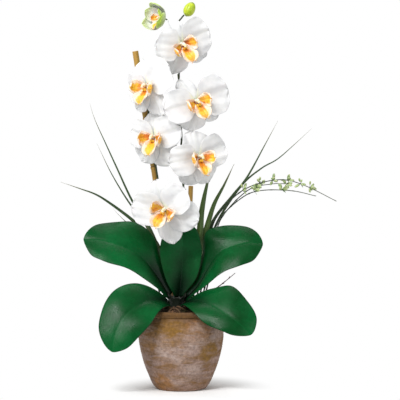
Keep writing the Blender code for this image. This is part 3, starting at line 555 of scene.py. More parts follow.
def leaf_look():
    """Thick waxy leaf: deep green above, duller beneath, with a paler midrib, a darker rim and painted shade that
    darkens the lower blade towards its foot and midrib.
    """
    k = Look("leaf_green_look", 0.33, Specular_IOR_Level=0.14)
    broad = k.noise(1.0, 4, 0.5, k.scaled((14, 14, 14)))
    green = k.ramp(broad, [(0.36, (0.0, 0.040, 0.0065)), (0.5, (0.0, 0.060, 0.0115)),
                           (0.66, (0.0, 0.086, 0.018))])
    fine = k.noise(1.0, 4, 0.6, k.scaled((30, 9, 4), k.mark))
    green = k.mix(1.0, green, k.ramp(fine, [(0.36, (0.88, 0.90, 0.88)), (0.64, (1.1, 1.08, 1.1))]),
                  "MULTIPLY")
    spread = k.math("ABSOLUTE", k.across)
    rib = k.range(spread, 0.055, 0.0)
    green = k.mix(k.math("MULTIPLY", rib, 0.22), green, (0.002, 0.11, 0.025))
    rim = k.range(spread, 0.93, 1.0)
    green = k.mix(k.math("MULTIPLY", rim, 0.6), green, (0.003, 0.030, 0.008))
    # painted shade: the lower blade, darkest along the midrib channel, is darkened almost to black where the leaf
    # bases shade each other at the crown
    foot = k.math("ADD", k.math("MULTIPLY", k.along, 1.0), k.math("MULTIPLY", spread, 0.30))
    foot = k.range(foot, 0.62, 0.12)
    green = k.mix(k.math("MULTIPLY", foot, 0.96), green, (0.0008, 0.0045, 0.0022))
    below = k.ramp(broad, [(0.35, (0.006, 0.060, 0.018)), (0.65, (0.012, 0.088, 0.028))])
    keel = k.math("MULTIPLY", k.range(spread, 0.06, 0.0), 0.5)
    below = k.mix(keel, below, (0.03, 0.13, 0.045))
    base = k.mix(k.range(k.kind, 0.45, 0.55), below, green)
    side = k.range(k.kind, 0.45, 0.55, 0.14, 0.0)
    rough = k.math("ADD", k.range(k.noise(60, 5, 0.6), 0.3, 0.7, 0.24, 0.34), side)
    veins = k.node("ShaderNodeTexWave", wave_type="BANDS", bands_direction="Y")
    k.put(veins.inputs["Vector"], k.scaled((0.6, 5.2, 0.0), k.mark))
    veins.inputs["Distortion"].default_value = 1.2
    veins.inputs["Detail"].default_value = 2.0
    relief = k.math("ADD", k.math("MULTIPLY", veins.outputs["Fac"], 0.30), k.noise(700, 3))
    relief = k.math("ADD", relief, k.math("MULTIPLY", k.noise(60, 3), 1.6))
    return k.finish(base, rough, relief, 0.22, 0.35)


def crown_shade_look():
    # painted shade: the crown's green is darkened almost to black to stand for the shade between the leaf bases; the
    # browner sheath tips are their own colour
    k = Look("crown_green_painted_shade_look", 0.55, Specular_IOR_Level=0.3)
    grain = k.noise(1.0, 5, 0.6, k.scaled((40, 3, 4), k.mark))
    base = k.ramp(grain, [(0.35, (0.002, 0.004, 0.002)), (0.55, (0.004, 0.010, 0.004)),
                          (0.7, (0.012, 0.015, 0.007))])
    base = k.mix(k.range(k.along, 0.90, 1.0), base, (0.008, 0.006, 0.004))
    return k.finish(base, k.range(grain, 0.3, 0.7, 0.45, 0.7), grain, 0.5, 0.5)


def petal_look(name, foot_colour, foot_reach, green_tip=0.0):
    """Soft white petal: fine branching veins, a cream-green foot and slightly grey painted shade along the centre
    fold.
    """
    k = Look(name, 0.52, Specular_IOR_Level=0.3, Subsurface_Weight=0.16, Subsurface_Scale=0.003,
             Sheen_Weight=0.15, Sheen_Roughness=0.5)
    k.shader.inputs["Subsurface Radius"].default_value = (1.0, 0.95, 0.85)
    cloud = k.noise(1.0, 4, 0.55, k.scaled((38, 38, 38)))
    base = k.ramp(cloud, [(0.34, (0.595, 0.60, 0.61)), (0.5, (0.68, 0.685, 0.685)),
                          (0.68, (0.745, 0.745, 0.74))])
    fan = k.node("ShaderNodeCombineXYZ")
    k.put(fan.inputs[0], k.math("MULTIPLY", k.along, 2.0))
    k.put(fan.inputs[1], k.math("MULTIPLY", k.across, 15.0))
    k.put(fan.inputs[2], k.math("MULTIPLY", k.tone, 9.0))
    veins = k.noise(1.0, 4, 0.6, fan.outputs[0], 1.1)
    lines = k.range(k.math("ABSOLUTE", k.math("SUBTRACT", veins, 0.5)), 0.0, 0.05)
    base = k.mix(k.math("MULTIPLY", k.math("SUBTRACT", 1.0, lines), 0.20), base, (0.60, 0.59, 0.60))
    # painted shade: a grey-green line along the middle of each tepal, where it folds
    middle = k.range(k.math("ABSOLUTE", k.across), 0.10, 0.0)
    base = k.mix(k.math("MULTIPLY", middle, 0.18), base, (0.56, 0.60, 0.50))
    foot = k.range(k.math("ADD", k.along, k.math("MULTIPLY", veins, 0.10)), foot_reach, 0.03)
    base = k.mix(k.math("MULTIPLY", foot, 0.75), base, foot_colour)
    blush = k.range(k.noise(22, 3), 0.52, 0.70)
    base = k.mix(k.math("MULTIPLY", blush, 0.22), base, (0.74, 0.66, 0.68))
    if green_tip:
        outside = k.range(k.kind, 0.6, 0.4, 0.10, 1.0)
        tip = k.math("MULTIPLY", k.math("ADD", k.range(k.along, 0.55, 1.0), outside), green_tip, True)
        base = k.mix(tip, base, (0.42, 0.58, 0.07))
    relief = k.math("ADD", veins, k.math("MULTIPLY", k.noise(900, 3), 0.06))
    return k.finish(base, k.range(cloud, 0.3, 0.7, 0.46, 0.60), relief, 0.22, 0.40)


def lip_look():
    """Lip: yellow throat, orange lobes, red-brown bars near the foot, cream-pink rim.
    """
    k = Look("lip_orange_look", 0.42, Specular_IOR_Level=0.4, Subsurface_Weight=0.08,
             Subsurface_Scale=0.002)
    cloud = k.noise(150, 4, 0.6)
    base = k.ramp(k.math("ADD", k.math("MULTIPLY", k.along, 0.75), k.math("MULTIPLY", cloud, 0.35)),
                  [(0.20, (0.36, 0.075, 0.008)), (0.42, (0.74, 0.23, 0.012)), (0.60, (0.86, 0.46, 0.030)),
                   (0.78, (0.84, 0.36, 0.04)), (0.97, (0.84, 0.58, 0.22))])
    rays = k.noise(1.0, 3, 0.6, k.scaled((3.5, 7, 1.5), k.mark), 0.4)
    bars = k.math("MULTIPLY", k.range(rays, 0.53, 0.60), k.range(k.along, 0.66, 0.30))
    base = k.mix(k.math("MULTIPLY", bars, 0.85), base, (0.27, 0.040, 0.006))
    golden = k.range(k.noise(95, 3, 0.5), 0.46, 0.60)
    base = k.mix(k.math("MULTIPLY", golden, 0.65), base, (0.82, 0.56, 0.045))
    rim = k.math("ADD", k.math("ABSOLUTE", k.across), k.math("MULTIPLY", k.noise(120, 3), 0.7))
    rim = k.math("MULTIPLY", k.range(rim, 0.74, 1.10), 0.92)
    base = k.mix(rim, base, (0.84, 0.70, 0.58))
    dots = k.math("MULTIPLY", k.range(k.cells(620), 0.42, 0.30), k.range(k.along, 0.6, 0.3))
    base = k.mix(k.math("MULTIPLY", dots, 0.55), base, (0.40, 0.05, 0.01))
    relief = k.math("ADD", rays, k.math("MULTIPLY", k.noise(900, 3), 0.4))
    return k.finish(base, k.range(cloud, 0.3, 0.7, 0.34, 0.50), relief, 0.35, 0.4)


def callus_look():
    k = Look("lip_callus_look", 0.38, Specular_IOR_Level=0.45, Subsurface_Weight=0.08,
             Subsurface_Scale=0.002)
    base = k.ramp(k.noise(280, 3), [(0.4, (0.86, 0.44, 0.02)), (0.6, (0.90, 0.62, 0.07))])
    dots = k.range(k.cells(900), 0.40, 0.28)
    base = k.mix(k.math("MULTIPLY", dots, 0.85), base, (0.34, 0.04, 0.008))
    return k.finish(base, k.range(k.noise(200), 0.3, 0.7, 0.32, 0.46), dots, 0.2, 0.2)


def column_look():
    k = Look("flower_column_look", 0.42, Specular_IOR_Level=0.4, Subsurface_Weight=0.12,
             Subsurface_Scale=0.002)
    base = k.ramp(k.along, [(0.0, (0.56, 0.60, 0.30)), (0.35, (0.74, 0.72, 0.52)),
                            (0.75, (0.82, 0.78, 0.66)), (1.0, (0.80, 0.66, 0.34))])
    base = k.mix(k.math("MULTIPLY", k.range(k.noise(320, 3), 0.5, 0.65), 0.4), base, (0.66, 0.44, 0.16))
    return k.finish(base, k.range(k.noise(240), 0.3, 0.7, 0.36, 0.5), k.noise(800, 3), 0.15, 0.2)


def bud_look():
    """Closed bud: lime green, paler on the swell, olive along the seams and at the tip."""
    k = Look("bud_green_look", 0.34, Specular_IOR_Level=0.45, Subsurface_Weight=0.08,
             Subsurface_Scale=0.002)
    broad = k.noise(90, 4, 0.55)
    base = k.ramp(broad, [(0.34, (0.30, 0.40, 0.014)), (0.5, (0.42, 0.52, 0.022)),
                          (0.68, (0.54, 0.62, 0.045))])
    seam = k.range(k.math("ABSOLUTE", k.kind), 0.0, 0.16)
    base = k.mix(k.math("MULTIPLY", k.math("SUBTRACT", 1.0, seam), 0.65), base, (0.12, 0.19, 0.012))
    base = k.mix(k.math("MULTIPLY", k.range(k.along, 0.80, 1.0), 0.70), base, (0.14, 0.20, 0.02))
    base = k.mix(k.math("MULTIPLY", k.range(k.along, 0.18, 0.0), 0.55), base, (0.20, 0.30, 0.02))
    streak = k.noise(1.0, 4, 0.6, k.scaled((2, 30, 2), k.mark))
    base = k.mix(1.0, base, k.ramp(streak, [(0.35, (0.88, 0.9, 0.85)), (0.65, (1.08, 1.06, 1.1))]),
                 "MULTIPLY")
    return k.finish(base, k.range(broad, 0.3, 0.7, 0.28, 0.42), k.math("ADD", streak, k.noise(700, 3)),
                    0.2, 0.25)


def bamboo_look():
    """Dry cane: ochre with long fibres, darker below each joint and at the cut end."""
    k = Look("bamboo_look", 0.48, Specular_IOR_Level=0.4)
    fibre = k.noise(1.0, 5, 0.6, k.scaled((5, 60, 1), k.mark), 0.2)
    base = k.ramp(fibre, [(0.34, (0.20, 0.095, 0.014)), (0.5, (0.36, 0.20, 0.034)),
                          (0.68, (0.52, 0.33, 0.075))])
    base = k.mix(k.math("MULTIPLY", k.range(k.kind, 0.2, 1.0), 0.8), base, (0.10, 0.045, 0.012))
    patch = k.noise(1.0, 4, 0.6, k.scaled((26, 3, 1), k.mark))
    base = k.mix(k.math("MULTIPLY", k.range(patch, 0.5, 0.66), 0.45), base, (0.30, 0.26, 0.05))
    spots = k.range(k.cells(330), 0.16, 0.06)
    base = k.mix(k.math("MULTIPLY", spots, 0.6), base, (0.09, 0.04, 0.012))
    return k.finish(base, k.range(fibre, 0.3, 0.7, 0.38, 0.58), k.math("ADD", fibre, k.noise(800, 3)),
                    0.4, 0.35)


def stem_look():
    """Flower spike: nearly black green, lighter and browner at the joints and in patches."""
    k = Look("spike_green_look", 0.42, Specular_IOR_Level=0.4)
    streak = k.noise(1.0, 5, 0.6, k.scaled((60, 6, 2), k.mark))
    base = k.ramp(streak, [(0.34, (0.010, 0.018, 0.008)), (0.52, (0.022, 0.038, 0.014)),
                           (0.70, (0.050, 0.066, 0.022))])
    base = k.mix(k.math("MULTIPLY", k.range(k.kind, 0.1, 1.0), 0.75), base, (0.085, 0.075, 0.035))
    base = k.mix(k.math("MULTIPLY", k.tone, 0.75), base, (0.20, 0.26, 0.08))
    return k.finish(base, k.range(streak, 0.3, 0.7, 0.34, 0.55), k.math("ADD", streak, k.noise(900, 3)),
                    0.3, 0.25)


def grass_look():
    """Grass blade: dark and olive stripes along it, a pale middle line, a dry tip and painted shade at its foot."""
    k = Look("grass_green_look", 0.42, Specular_IOR_Level=0.35)
    stripes = k.noise(1.0, 4, 0.6, k.scaled((1.6, 11, 1), k.mark), 0.2)
    body = k.mix(k.tone, (0.014, 0.040, 0.018), (0.060, 0.110, 0.022))
    base = k.mix(1.0, body, k.ramp(stripes, [(0.36, (0.55, 0.62, 0.55)), (0.64, (1.5, 1.4, 1.35))]),
                 "MULTIPLY")
    base = k.mix(k.math("MULTIPLY", k.range(k.math("ABSOLUTE", k.across), 0.16, 0.0), 0.45), base,
                 (0.11, 0.17, 0.06))
    base = k.mix(k.math("MULTIPLY", k.range(k.along, 0.80, 1.0), 0.75), base, (0.17, 0.15, 0.07))
    # painted shade: the foot of the blade, down among the leaf bases, is darkened almost to black
    base = k.mix(k.math("MULTIPLY", k.range(k.along, 0.22, 0.0), 0.7), base, (0.012, 0.016, 0.008))
    return k.finish(base, k.range(stripes, 0.3, 0.7, 0.34, 0.52), stripes, 0.35, 0.25)


def sprig_look():
    k = Look("sprig_stem_look", 0.5, Specular_IOR_Level=0.3)
    streak = k.noise(1.0, 4, 0.6, k.scaled((50, 4, 1), k.mark))
    base = k.ramp(streak, [(0.35, (0.012, 0.020, 0.014)), (0.55, (0.030, 0.046, 0.026)),
                           (0.72, (0.07, 0.10, 0.05))])
    base = k.mix(k.math("MULTIPLY", k.range(k.along, 0.72, 1.0), 0.55), base, (0.16, 0.17, 0.13))
    return k.finish(base, k.range(streak, 0.3, 0.7, 0.42, 0.6), streak, 0.3, 0.2)


def floret_look():
    k = Look("floret_look", 0.55, Specular_IOR_Level=0.3, Subsurface_Weight=0.10,
             Subsurface_Scale=0.002)
    body = k.mix(k.tone, (0.07, 0.15, 0.035), (0.46, 0.55, 0.26))
    base = k.mix(k.math("MULTIPLY", k.range(k.along, 0.6, 1.0), 0.55), body, (0.70, 0.72, 0.50))
    grain = k.noise(700, 4, 0.6)
    base = k.mix(1.0, base, k.ramp(grain, [(0.35, (0.8, 0.84, 0.78)), (0.65, (1.1, 1.08, 1.1))]),
                 "MULTIPLY")
    return k.finish(base, k.range(grain, 0.3, 0.7, 0.45, 0.65), grain, 0.3, 0.2)


def root_look(name, dark, mid, light):
    k = Look(name, 0.8, Specular_IOR_Level=0.25)
    grain = k.noise(1.0, 5, 0.65, k.scaled((22, 7, 1), k.mark), 0.6)
    base = k.ramp(grain, [(0.34, dark), (0.52, mid), (0.70, light)])
    return k.finish(base, k.range(grain, 0.3, 0.7, 0.68, 0.9), k.math("ADD", grain, k.noise(900, 4)),
                    0.6, 0.4)


# ---------------------------------------------------------------- pot and growing medium

def soil_height(x, y):
    r = np.minimum(np.hypot(x, y) / SOIL_RADIUS_MM, 1.0)
    return SOIL_EDGE_MM + SOIL_MOUND_MM * (1 - r * r)


def build_pot(look):
    """Turned pot with throwing lines, a worn rim and a slightly uneven wall."""
    sides, rows = 240, 150
    outer = curve([(r, z, 0) for r, z in POT_OUTER_MM], np.linspace(0, 1, rows))
    inner = curve([(r, z, 0) for r, z in POT_INNER_MM], np.linspace(0, 1, 40))
    profile = np.vstack([outer, inner[1:]])
    angle = np.arange(sides) * TAU / sides
    r, z = profile[:, 0][:, None], profile[:, 1][:, None]
    spots = np.stack([r * np.cos(angle), r * np.sin(angle), z + 0 * angle], axis=-1)
    lines = 0.16 * np.sin(z * 1.55 + 0.8 * np.sin(z * 0.21)) * np.clip((z - 6) / 12, 0, 1)
    wear = 0.35 * noise(spots * (1, 1, 1.7), 34, 3, 3) + 0.16 * noise(spots * (1, 1, 2.4), 7, 5, 2)
    chips = np.clip(noise(spots, 11, 9, 2) - 0.62, 0, 1) * 2.2
    at_rim = np.exp(-((z - 136) / 3.0) ** 2)
    flat = np.clip(z / 3.0, 0, 1)
    inward = np.maximum(0.62 + lines + wear, 0.05) * flat + chips * (0.35 + 1.6 * at_rim) * flat
    push = np.where(np.arange(len(profile))[:, None] < rows, -inward, 0.15 * wear)
    ring = r + push
    height = z + np.where(z > 132, -0.35 * np.abs(noise(spots, 16, 12, 2)) * at_rim, 0.0)
    points = np.stack([ring * np.cos(angle), ring * np.sin(angle), height + 0 * angle], axis=-1)
    shape = Shape()
    n = len(profile)
    u = np.repeat(np.linspace(0, 1, n), sides)
    marks = np.stack([u, np.tile(angle / TAU, n), np.zeros(n * sides)], axis=-1)
    faces = list(grid_quads(n - 1, sides, ring=True))
    last = (n - 1) * sides
    base_centre, inner_centre = n * sides, n * sides + 1
    faces += [(base_centre, (k + 1) % sides, k) for k in range(sides)]
    faces += [(inner_centre, last + k, last + (k + 1) % sides) for k in range(sides)]
    shape.add(np.vstack([points.reshape(-1, 3), [(0, 0, 0.0), (0, 0, 60.0)]]),
              np.vstack([marks, [(0, 0, 0), (1, 0, 0)]]), faces)
    shape.build("pot_weathered", ["pot"], [look])


def chip(shape, rng, centre, size, tilt, tone, slot=0):
    """A split piece of bark: a flattened block with ragged ends and bumpy faces."""
    seed = int(rng.integers(1, 900))
    spin = rng.uniform(0, TAU)
    direction = (math.cos(spin) * math.cos(tilt), math.sin(spin) * math.cos(tilt), math.sin(tilt))
    axes = axes_along(direction, rng.uniform(0, TAU))

    def form(ball):
        boxy = np.sign(ball) * np.abs(ball) ** 0.55
        return boxy * (1 + 0.22 * noise(ball * 9, 8, seed, 2))[:, None]

    shape.blob(centre, axes, (size * 0.30, size * 0.20, size * 0.5), 9, 12, 0.0, tone, slot, form)


def build_medium(looks):
    """Rough mound of bark crumbs, with loose chips and strands of moss on it."""
    rng = np.random.default_rng(41)
    shape = Shape()
    rings, sides = 56, 150
    radius = 60.6 * np.linspace(0, 1, rings + 1)[1:] ** 0.8
    angle = np.arange(sides) * TAU / sides
    x, y = np.outer(radius, np.cos(angle)), np.outer(radius, np.sin(angle))
    spots = np.stack([x, y, 0 * x], axis=-1)
    z = soil_height(x, y) + 1.9 * noise(spots, 9, 2, 3) + 0.8 * np.abs(noise(spots, 3.2, 6, 2)) - 0.8
    z = np.where(radius[:, None] > 59, z - 2.5, z)
    skirt = np.stack([np.cos(angle) * 58, np.sin(angle) * 58, 0 * angle + 112], axis=-1)[None]
    top = np.vstack([np.stack([x, y, z], axis=-1), skirt])
    faces = list(grid_quads(rings, sides, ring=True))
    middle, under, last = (rings + 1) * sides, (rings + 1) * sides + 1, rings * sides
    faces += [(middle, k, (k + 1) % sides) for k in range(sides)]
    faces += [(under, last + (k + 1) % sides, last + k) for k in range(sides)]
    points = np.vstack([top.reshape(-1, 3), [(0, 0, SOIL_EDGE_MM + SOIL_MOUND_MM), (0, 0, 112)]])
    shape.add(points, (0, 0, 0), faces)
    for _ in range(150):
        r, a = 57 * math.sqrt(rng.uniform(0.02, 1)), rng.uniform(0, TAU)
        size = rng.uniform(7, 14)
        px, py = r * math.cos(a), r * math.sin(a)
        centre = (px * (1 - 0.3 * size / 60), py * (1 - 0.3 * size / 60), soil_height(px, py) + 0.4)
        chip(shape, rng, centre, size, rng.uniform(-0.35, 0.35), rng.uniform(0, 1) ** 1.6, 1)
    for _ in range(230):
        r, a = 56 * math.sqrt(rng.uniform(0, 1)), rng.uniform(0, TAU)
        px, py = r * math.cos(a), r * math.sin(a)
        steps = rng.normal(0, 1, (5, 3)) * (3.2, 3.2, 0.7)
        line = np.cumsum(steps, axis=0) + (px, py, 0)
        reach = np.hypot(line[:, 0], line[:, 1])
        line[:, :2] *= np.minimum(1, 57 / np.maximum(reach, 1))[:, None]
        line[:, 2] = soil_height(line[:, 0], line[:, 1]) + 1.4 + 0.8 * np.abs(steps[:, 2])
        shape.tube(even_path(line, 12), 0.28 + 0.22 * rng.uniform(), 5, 0, rng.uniform(), 2)
    shape.build("growing_medium_rough", ["growing_medium"], looks)


def build_crown(looks):
    """Short stem wrapped in old leaf sheaths, with a few dry roots that grip the medium."""
    rng = np.random.default_rng(7)
    cx, cy = CROWN_MM
    foot = SOIL_EDGE_MM + SOIL_MOUND_MM
    shape = Shape()
    core = [(cx, cy, foot - 1.5), (cx, cy, foot + 5), (cx, cy, foot + 11), (cx + 0.5, cy + 0.5, foot + 16)]
    shape.tube(even_path(core, 24), np.interp(np.arange(24), [0, 12, 23], [8.5, 8.2, 4.0]), 28,
               relief=lambda p: 0.5 * noise(p, 3, 4, 2))
    for k, turn in enumerate((165, 15, 95, 215, 322, 268, 130, 48)):
        a = math.radians(turn)
        rows, columns = 22, 18
        u, t = np.meshgrid(np.linspace(0, 1, rows + 1), np.linspace(-1, 1, columns + 1), indexing="ij")
        spread = math.radians(62) * (1 - 0.55 * u ** 2)
        radius = 9.4 + 0.25 * k + (6.5 - 0.5 * k) * u ** 2 + 0.35 * np.sin(7 * t + k)
        height = foot - 1 + (28 - 1.7 * k) * u * (1 - 0.24 * t * t)
        grid = np.stack([cx + radius * np.cos(a + t * spread), cy + radius * np.sin(a + t * spread),
                         height], axis=-1)
        shape.sheet(grid, 0.5 * np.sqrt(np.clip(1 - t ** 6, 0, 1)), u, t, rng.uniform())
    for _ in range(9):
        a, reach = rng.uniform(0, TAU), rng.uniform(18, 30)
        line = []
        for s in np.linspace(0, 1, 6):
            r = 8 + reach * s
            x = cx + r * math.cos(a + 0.35 * math.sin(3 * s + a))
            y = cy + r * math.sin(a + 0.35 * math.sin(3 * s + a))
            line.append((x, y, soil_height(x, y) + 1.6 + 2.2 * math.sin(math.pi * min(s * 1.3, 1)) - 3.5 * s ** 3))
        shape.tube(even_path(line, 30), np.linspace(1.5, 1.0, 30), 12, 0, rng.uniform(), 1,
                   relief=lambda p: 0.22 * noise(p, 2.2, 8, 2))
    shape.build("crown_sheaths", ["crown"], looks)


# ---------------------------------------------------------------- leaves, grass and sprigs

def leaf_grid(lines, rows, columns, seed):
    """Fine grid of one leaf, with a sunk midrib, a soft wave along the rim and uneven growth."""
    u1 = 1 - (1 - np.linspace(0, 1, rows + 1)) ** 1.5
    s1 = np.linspace(-1, 1, columns + 1)
    t1 = np.sign(s1) * (1 - (1 - np.abs(s1)) ** 1.35)
    back, rib, front = (curve(line, u1) for line in lines)
    ahead = curve(lines[1], np.minimum(u1 + 0.02, 1)) - curve(lines[1], np.maximum(u1 - 0.02, 0))
    face = unit(np.cross(back - front, ahead))
    face = np.where(face[:, 1:2] > 0, -face, face)
    beyond = np.clip((u1 - LEAF_ROUNDING_START) / (1 - LEAF_ROUNDING_START), 0, 1)
    closing = np.sqrt(np.clip(1 - beyond ** LEAF_BLUNTNESS, 0.0004, 1))
    u, t = np.meshgrid(u1, t1, indexing="ij")
    edge = np.where(t[..., None] < 0, back[:, None], front[:, None])
    s = np.abs(t) * closing[:, None]
    width = np.linalg.norm(edge - rib[:, None], axis=-1)
    lift = 0.22 * width * s * (1 - s)
    lift = lift - 0.7 * np.exp(-(s * width / 3.4) ** 2) * (1 - 0.6 * u) * closing[:, None]
    grid = rib[:, None] + (edge - rib[:, None]) * s[..., None] + face[:, None] * lift[..., None]
    bend = noise(grid, 46, seed, 2) * 1.6 * s * closing[:, None]
    ripple = np.sin(u * 21 + seed * 1.7 + np.sign(t)) * 0.7 * s ** 3 * closing[:, None]
    return grid + face[:, None] * (bend + ripple)[..., None], u, t, face


def build_leaves(look):
    for seed, (name, lines) in enumerate(LEAVES_MM.items()):
        grid, u, t, face = leaf_grid(lines, 110, 44, seed + 2)
        half = 0.95 * np.sqrt(np.clip(1 - np.abs(t) ** 5, 0, 1)) * np.clip((1 - u) / 0.02, 0, 1) ** 0.5
        half = half + 0.55 * np.exp(-(t / 0.07) ** 2) * (1 - u)
        normal = unit(np.cross(np.gradient(grid, axis=0), np.gradient(grid, axis=1)))
        if (normal[40, 22] * face[40]).sum() < 0:
            grid, u, t, half = grid[:, ::-1], u[:, ::-1], t[:, ::-1], half[:, ::-1]
        shape = Shape()
        shape.sheet(grid, half, u, t, seed / 4)
        shape.build(name + "_blade", [name], [look])


def build_grass(look):
    """Narrow blades with a folded middle, that turn a little along their length."""
    rng = np.random.default_rng(19)
    for name, (width, points) in BLADES_MM.items():
        rows, columns = 120, 10
        line = np.array(points, float)
        line[0, 2] = soil_height(line[0, 0], line[0, 1]) - 1.0
        path = even_path(line, rows + 1)
        ahead = unit(np.gradient(path, axis=0))
        side = unit(np.cross(ahead, (0, 1, 0)))
        up = np.cross(ahead, side)
        u1 = np.linspace(0, 1, rows + 1)
        turn = rng.uniform(-0.25, 0.25) + 0.35 * np.sin(u1 * rng.uniform(3, 6) + rng.uniform(0, 6)) * u1
        across = side * np.cos(turn)[:, None] + up * np.sin(turn)[:, None]
        lift = up * np.cos(turn)[:, None] - side * np.sin(turn)[:, None]
        half = width * 0.62 * np.maximum(np.minimum(0.45 + 1.6 * u1, 1) * (1 - u1 ** 2.4), 0.05)
        u, t = np.meshgrid(u1, np.linspace(-1, 1, columns + 1), indexing="ij")
        wave = 0.05 * half[:, None] * np.sin(34 * u + 3 * t)
        depth = (0.35 * (1 - np.abs(t)) + 0.05 * np.cos(9 * t)) * half[:, None] + wave
        grid = path[:, None] + across[:, None] * (t * half[:, None])[..., None] \
            + lift[:, None] * depth[..., None]
        thick = 0.34 * np.sqrt(np.clip(1 - t ** 4, 0, 1)) * np.clip(half[:, None] / 1.2, 0.25, 1)
        shape = Shape()
        tone = {"grass_right_1": 0.75, "grass_right_2": 0.85, "grass_left_5": 0.7}.get(name, 0.28)
        shape.sheet(grid, thick, u, t, tone)
        shape.build(name + "_blade", [name], [look])


def floret_cluster(shape, rng, base, ahead, count):
    """A tuft of small pointed buds on short stalks, with a pair of tiny leaves at its foot."""
    for _ in range(count):
        lean = unit(ahead * rng.uniform(0.1, 0.9) + rng.normal(0, 0.55, 3) + (0, -0.1, 0.35))
        length = rng.uniform(2.8, 7.5)
        tip = base + lean * length
        bow = (base + tip) / 2 + rng.normal(0, 0.35, 3)
        shape.tube(even_path([base, bow, tip], 8), np.linspace(0.32, 0.22, 8), 6)
        size = rng.uniform(2.4, 3.9)
        shape.blob(tip + lean * size * 0.8, axes_along(lean, rng.uniform(0, TAU)),
                   (size * 0.62, size * 0.55, size * 1.15), 8, 10, 0.0, rng.uniform(0.35, 1.0), 1,
                   lambda b: b * (1 - 0.25 * b[:, 2:] - 0.16 * np.cos(3 * np.arctan2(b[:, 1:2], b[:, :1]))))
    for side in (-1, 1):
        rows, columns = 12, 6
        u, t = np.meshgrid(np.linspace(0, 1, rows + 1), np.linspace(-1, 1, columns + 1), indexing="ij")
        out = unit(ahead * 0.7 + np.array((0.1, -0.25 * side, 0.6 * side)) + rng.normal(0, 0.2, 3))
        axes = axes_along(out, rng.uniform(0, TAU))
        half = 1.0 * np.sin(math.pi * np.clip(u, 0.03, 0.985)) ** 0.8
        length = rng.uniform(5.5, 8.0)
        grid = base + out * (u * length)[..., None] + axes[0] * (t * half)[..., None] \
            + axes[1] * (0.5 * half * t * t - 1.2 * u * u)[..., None]
        shape.sheet(grid, 0.16 * np.sqrt(np.clip(1 - t ** 4, 0, 1)), u, t, 0.08, 1)


def build_sprigs(looks):
    rng = np.random.default_rng(23)
    for name, (points, places) in SPRIGS_MM.items():
        line = np.array(points, float)
        line[0, 2] = soil_height(line[0, 0], line[0, 1]) - 1.0
        path = even_path(line, 170)
        shape = Shape()
        radii = 1.45 * (1 - 0.55 * np.linspace(0, 1, 170)) * (1 + 0.05 * np.sin(np.arange(170) * 0.9))
        for place in np.arange(0.12, 0.95, 0.11):
            radii *= 1 + 0.35 * np.exp(-((np.linspace(0, 1, 170) - place) / 0.006) ** 2)
        shape.tube(path, radii, 10)
        ahead = unit(np.gradient(path, axis=0))
        for place in places:
            i = min(int(place * 169), 168)
            floret_cluster(shape, rng, path[i], ahead[i], int(rng.integers(6, 10)))
        shape.build(name + "_stalk", [name], looks)


# ---------------------------------------------------------------- canes and spikes

def build_stakes(look, cut_look):
    for seed, (name, (radius, foot, top)) in enumerate(STAKES_MM.items()):
        a, b = np.array(foot, float), np.array(top, float)
        a[2] = soil_height(a[0], a[1]) - 1.5
        rows, sides = 300, 28
        u = np.linspace(0, 1, rows)
        path = a + (b - a) * u[:, None]
        length = np.linalg.norm(b - a)
        joint = np.zeros(rows)
        swell = np.zeros(rows)
        for place in np.arange(0.17 + 0.05 * seed, 1.0, 86 / length):
            gap = (u - place) * length
            swell += 0.55 * np.exp(-(gap / 2.2) ** 2) - 0.55 * np.exp(-((gap - 2.4) / 0.7) ** 2)
            joint += np.exp(-((gap - 2.0) / 1.6) ** 2)
        radii = radius * 1.03 + swell
        shape = Shape()
        shape.tube(path, radii, sides, relief=lambda p: 0.10 * noise(p * (1, 1, 0.06), 1.6, 5 + seed, 2))
        marks = shape.marks[0].copy()
        marks[:rows * sides, 2] = np.repeat(np.clip(joint, 0, 1), sides)
        shape.marks[0] = marks
        rim = (rows - 1) * sides
        shape.points[0][rows * sides + 1] = path[-1] - unit(b - a) * 1.2
        shape.slots = [1 if min(f) >= rim and max(f) > rows * sides else 0 for f in shape.faces]
        shape.build(name + "_cane", [name], [look, cut_look])


def facing(flower):
    """Rows of a flower's own right, up and ahead directions."""
    yaw, pitch = math.radians(flower["yaw"]), math.radians(flower["pitch"])
    ahead = np.array([math.sin(yaw) * math.cos(pitch), -math.cos(yaw) * math.cos(pitch), math.sin(pitch)])
    right = np.array([math.cos(yaw), math.sin(yaw), 0.0])
    return np.array([right, np.cross(ahead, right), ahead])


def build_spikes(look):
    for side, points in (("left", SPIKE_LEFT_MM), ("right", SPIKE_RIGHT_MM)):
        line = np.array(points, float)
        line[0, 2] = soil_height(line[0, 0], line[0, 1]) - 1.0
        rows = 420
        path = even_path(line, rows)
        u = np.linspace(0, 1, rows)
        length = np.linalg.norm(np.diff(path, axis=0), axis=1).sum()
        radii = SPIKE_RADIUS_MM * (1 - 0.35 * u)
        joint = np.zeros(rows)
        places = np.arange(0.10, 0.97, 44 / length)
        for place in places:
            gap = (u - place) * length
            radii = radii + 0.42 * np.exp(-(gap / 1.6) ** 2)
            joint += np.exp(-(gap / 1.8) ** 2)
        shape = Shape()
        shape.tube(path, radii, 18, tone=0.05, relief=lambda p: 0.08 * noise(p, 1.8, 3, 2))
        marks = shape.marks[0].copy()
        marks[:rows * 18, 2] = np.repeat(np.clip(joint, 0, 1), 18)
        shape.marks[0] = marks
        ahead = unit(np.gradient(path, axis=0))
        for k, place in enumerate(places):
            i = int(place * (rows - 1))
            bract(shape, path[i], ahead[i], k * 2.3, SPIKE_RADIUS_MM * (1 - 0.35 * u[i]) + 0.3)
        flowers = [f for f in FLOWERS.values() if f["spike"] == side]
        if side == HALF_OPEN["spike"]:
            flowers.append(HALF_OPEN)
        for flower in flowers:
            pedicel(shape, flower, path)
        shape.build(f"spike_{side}_stem", [f"spike_{side}"], [look])


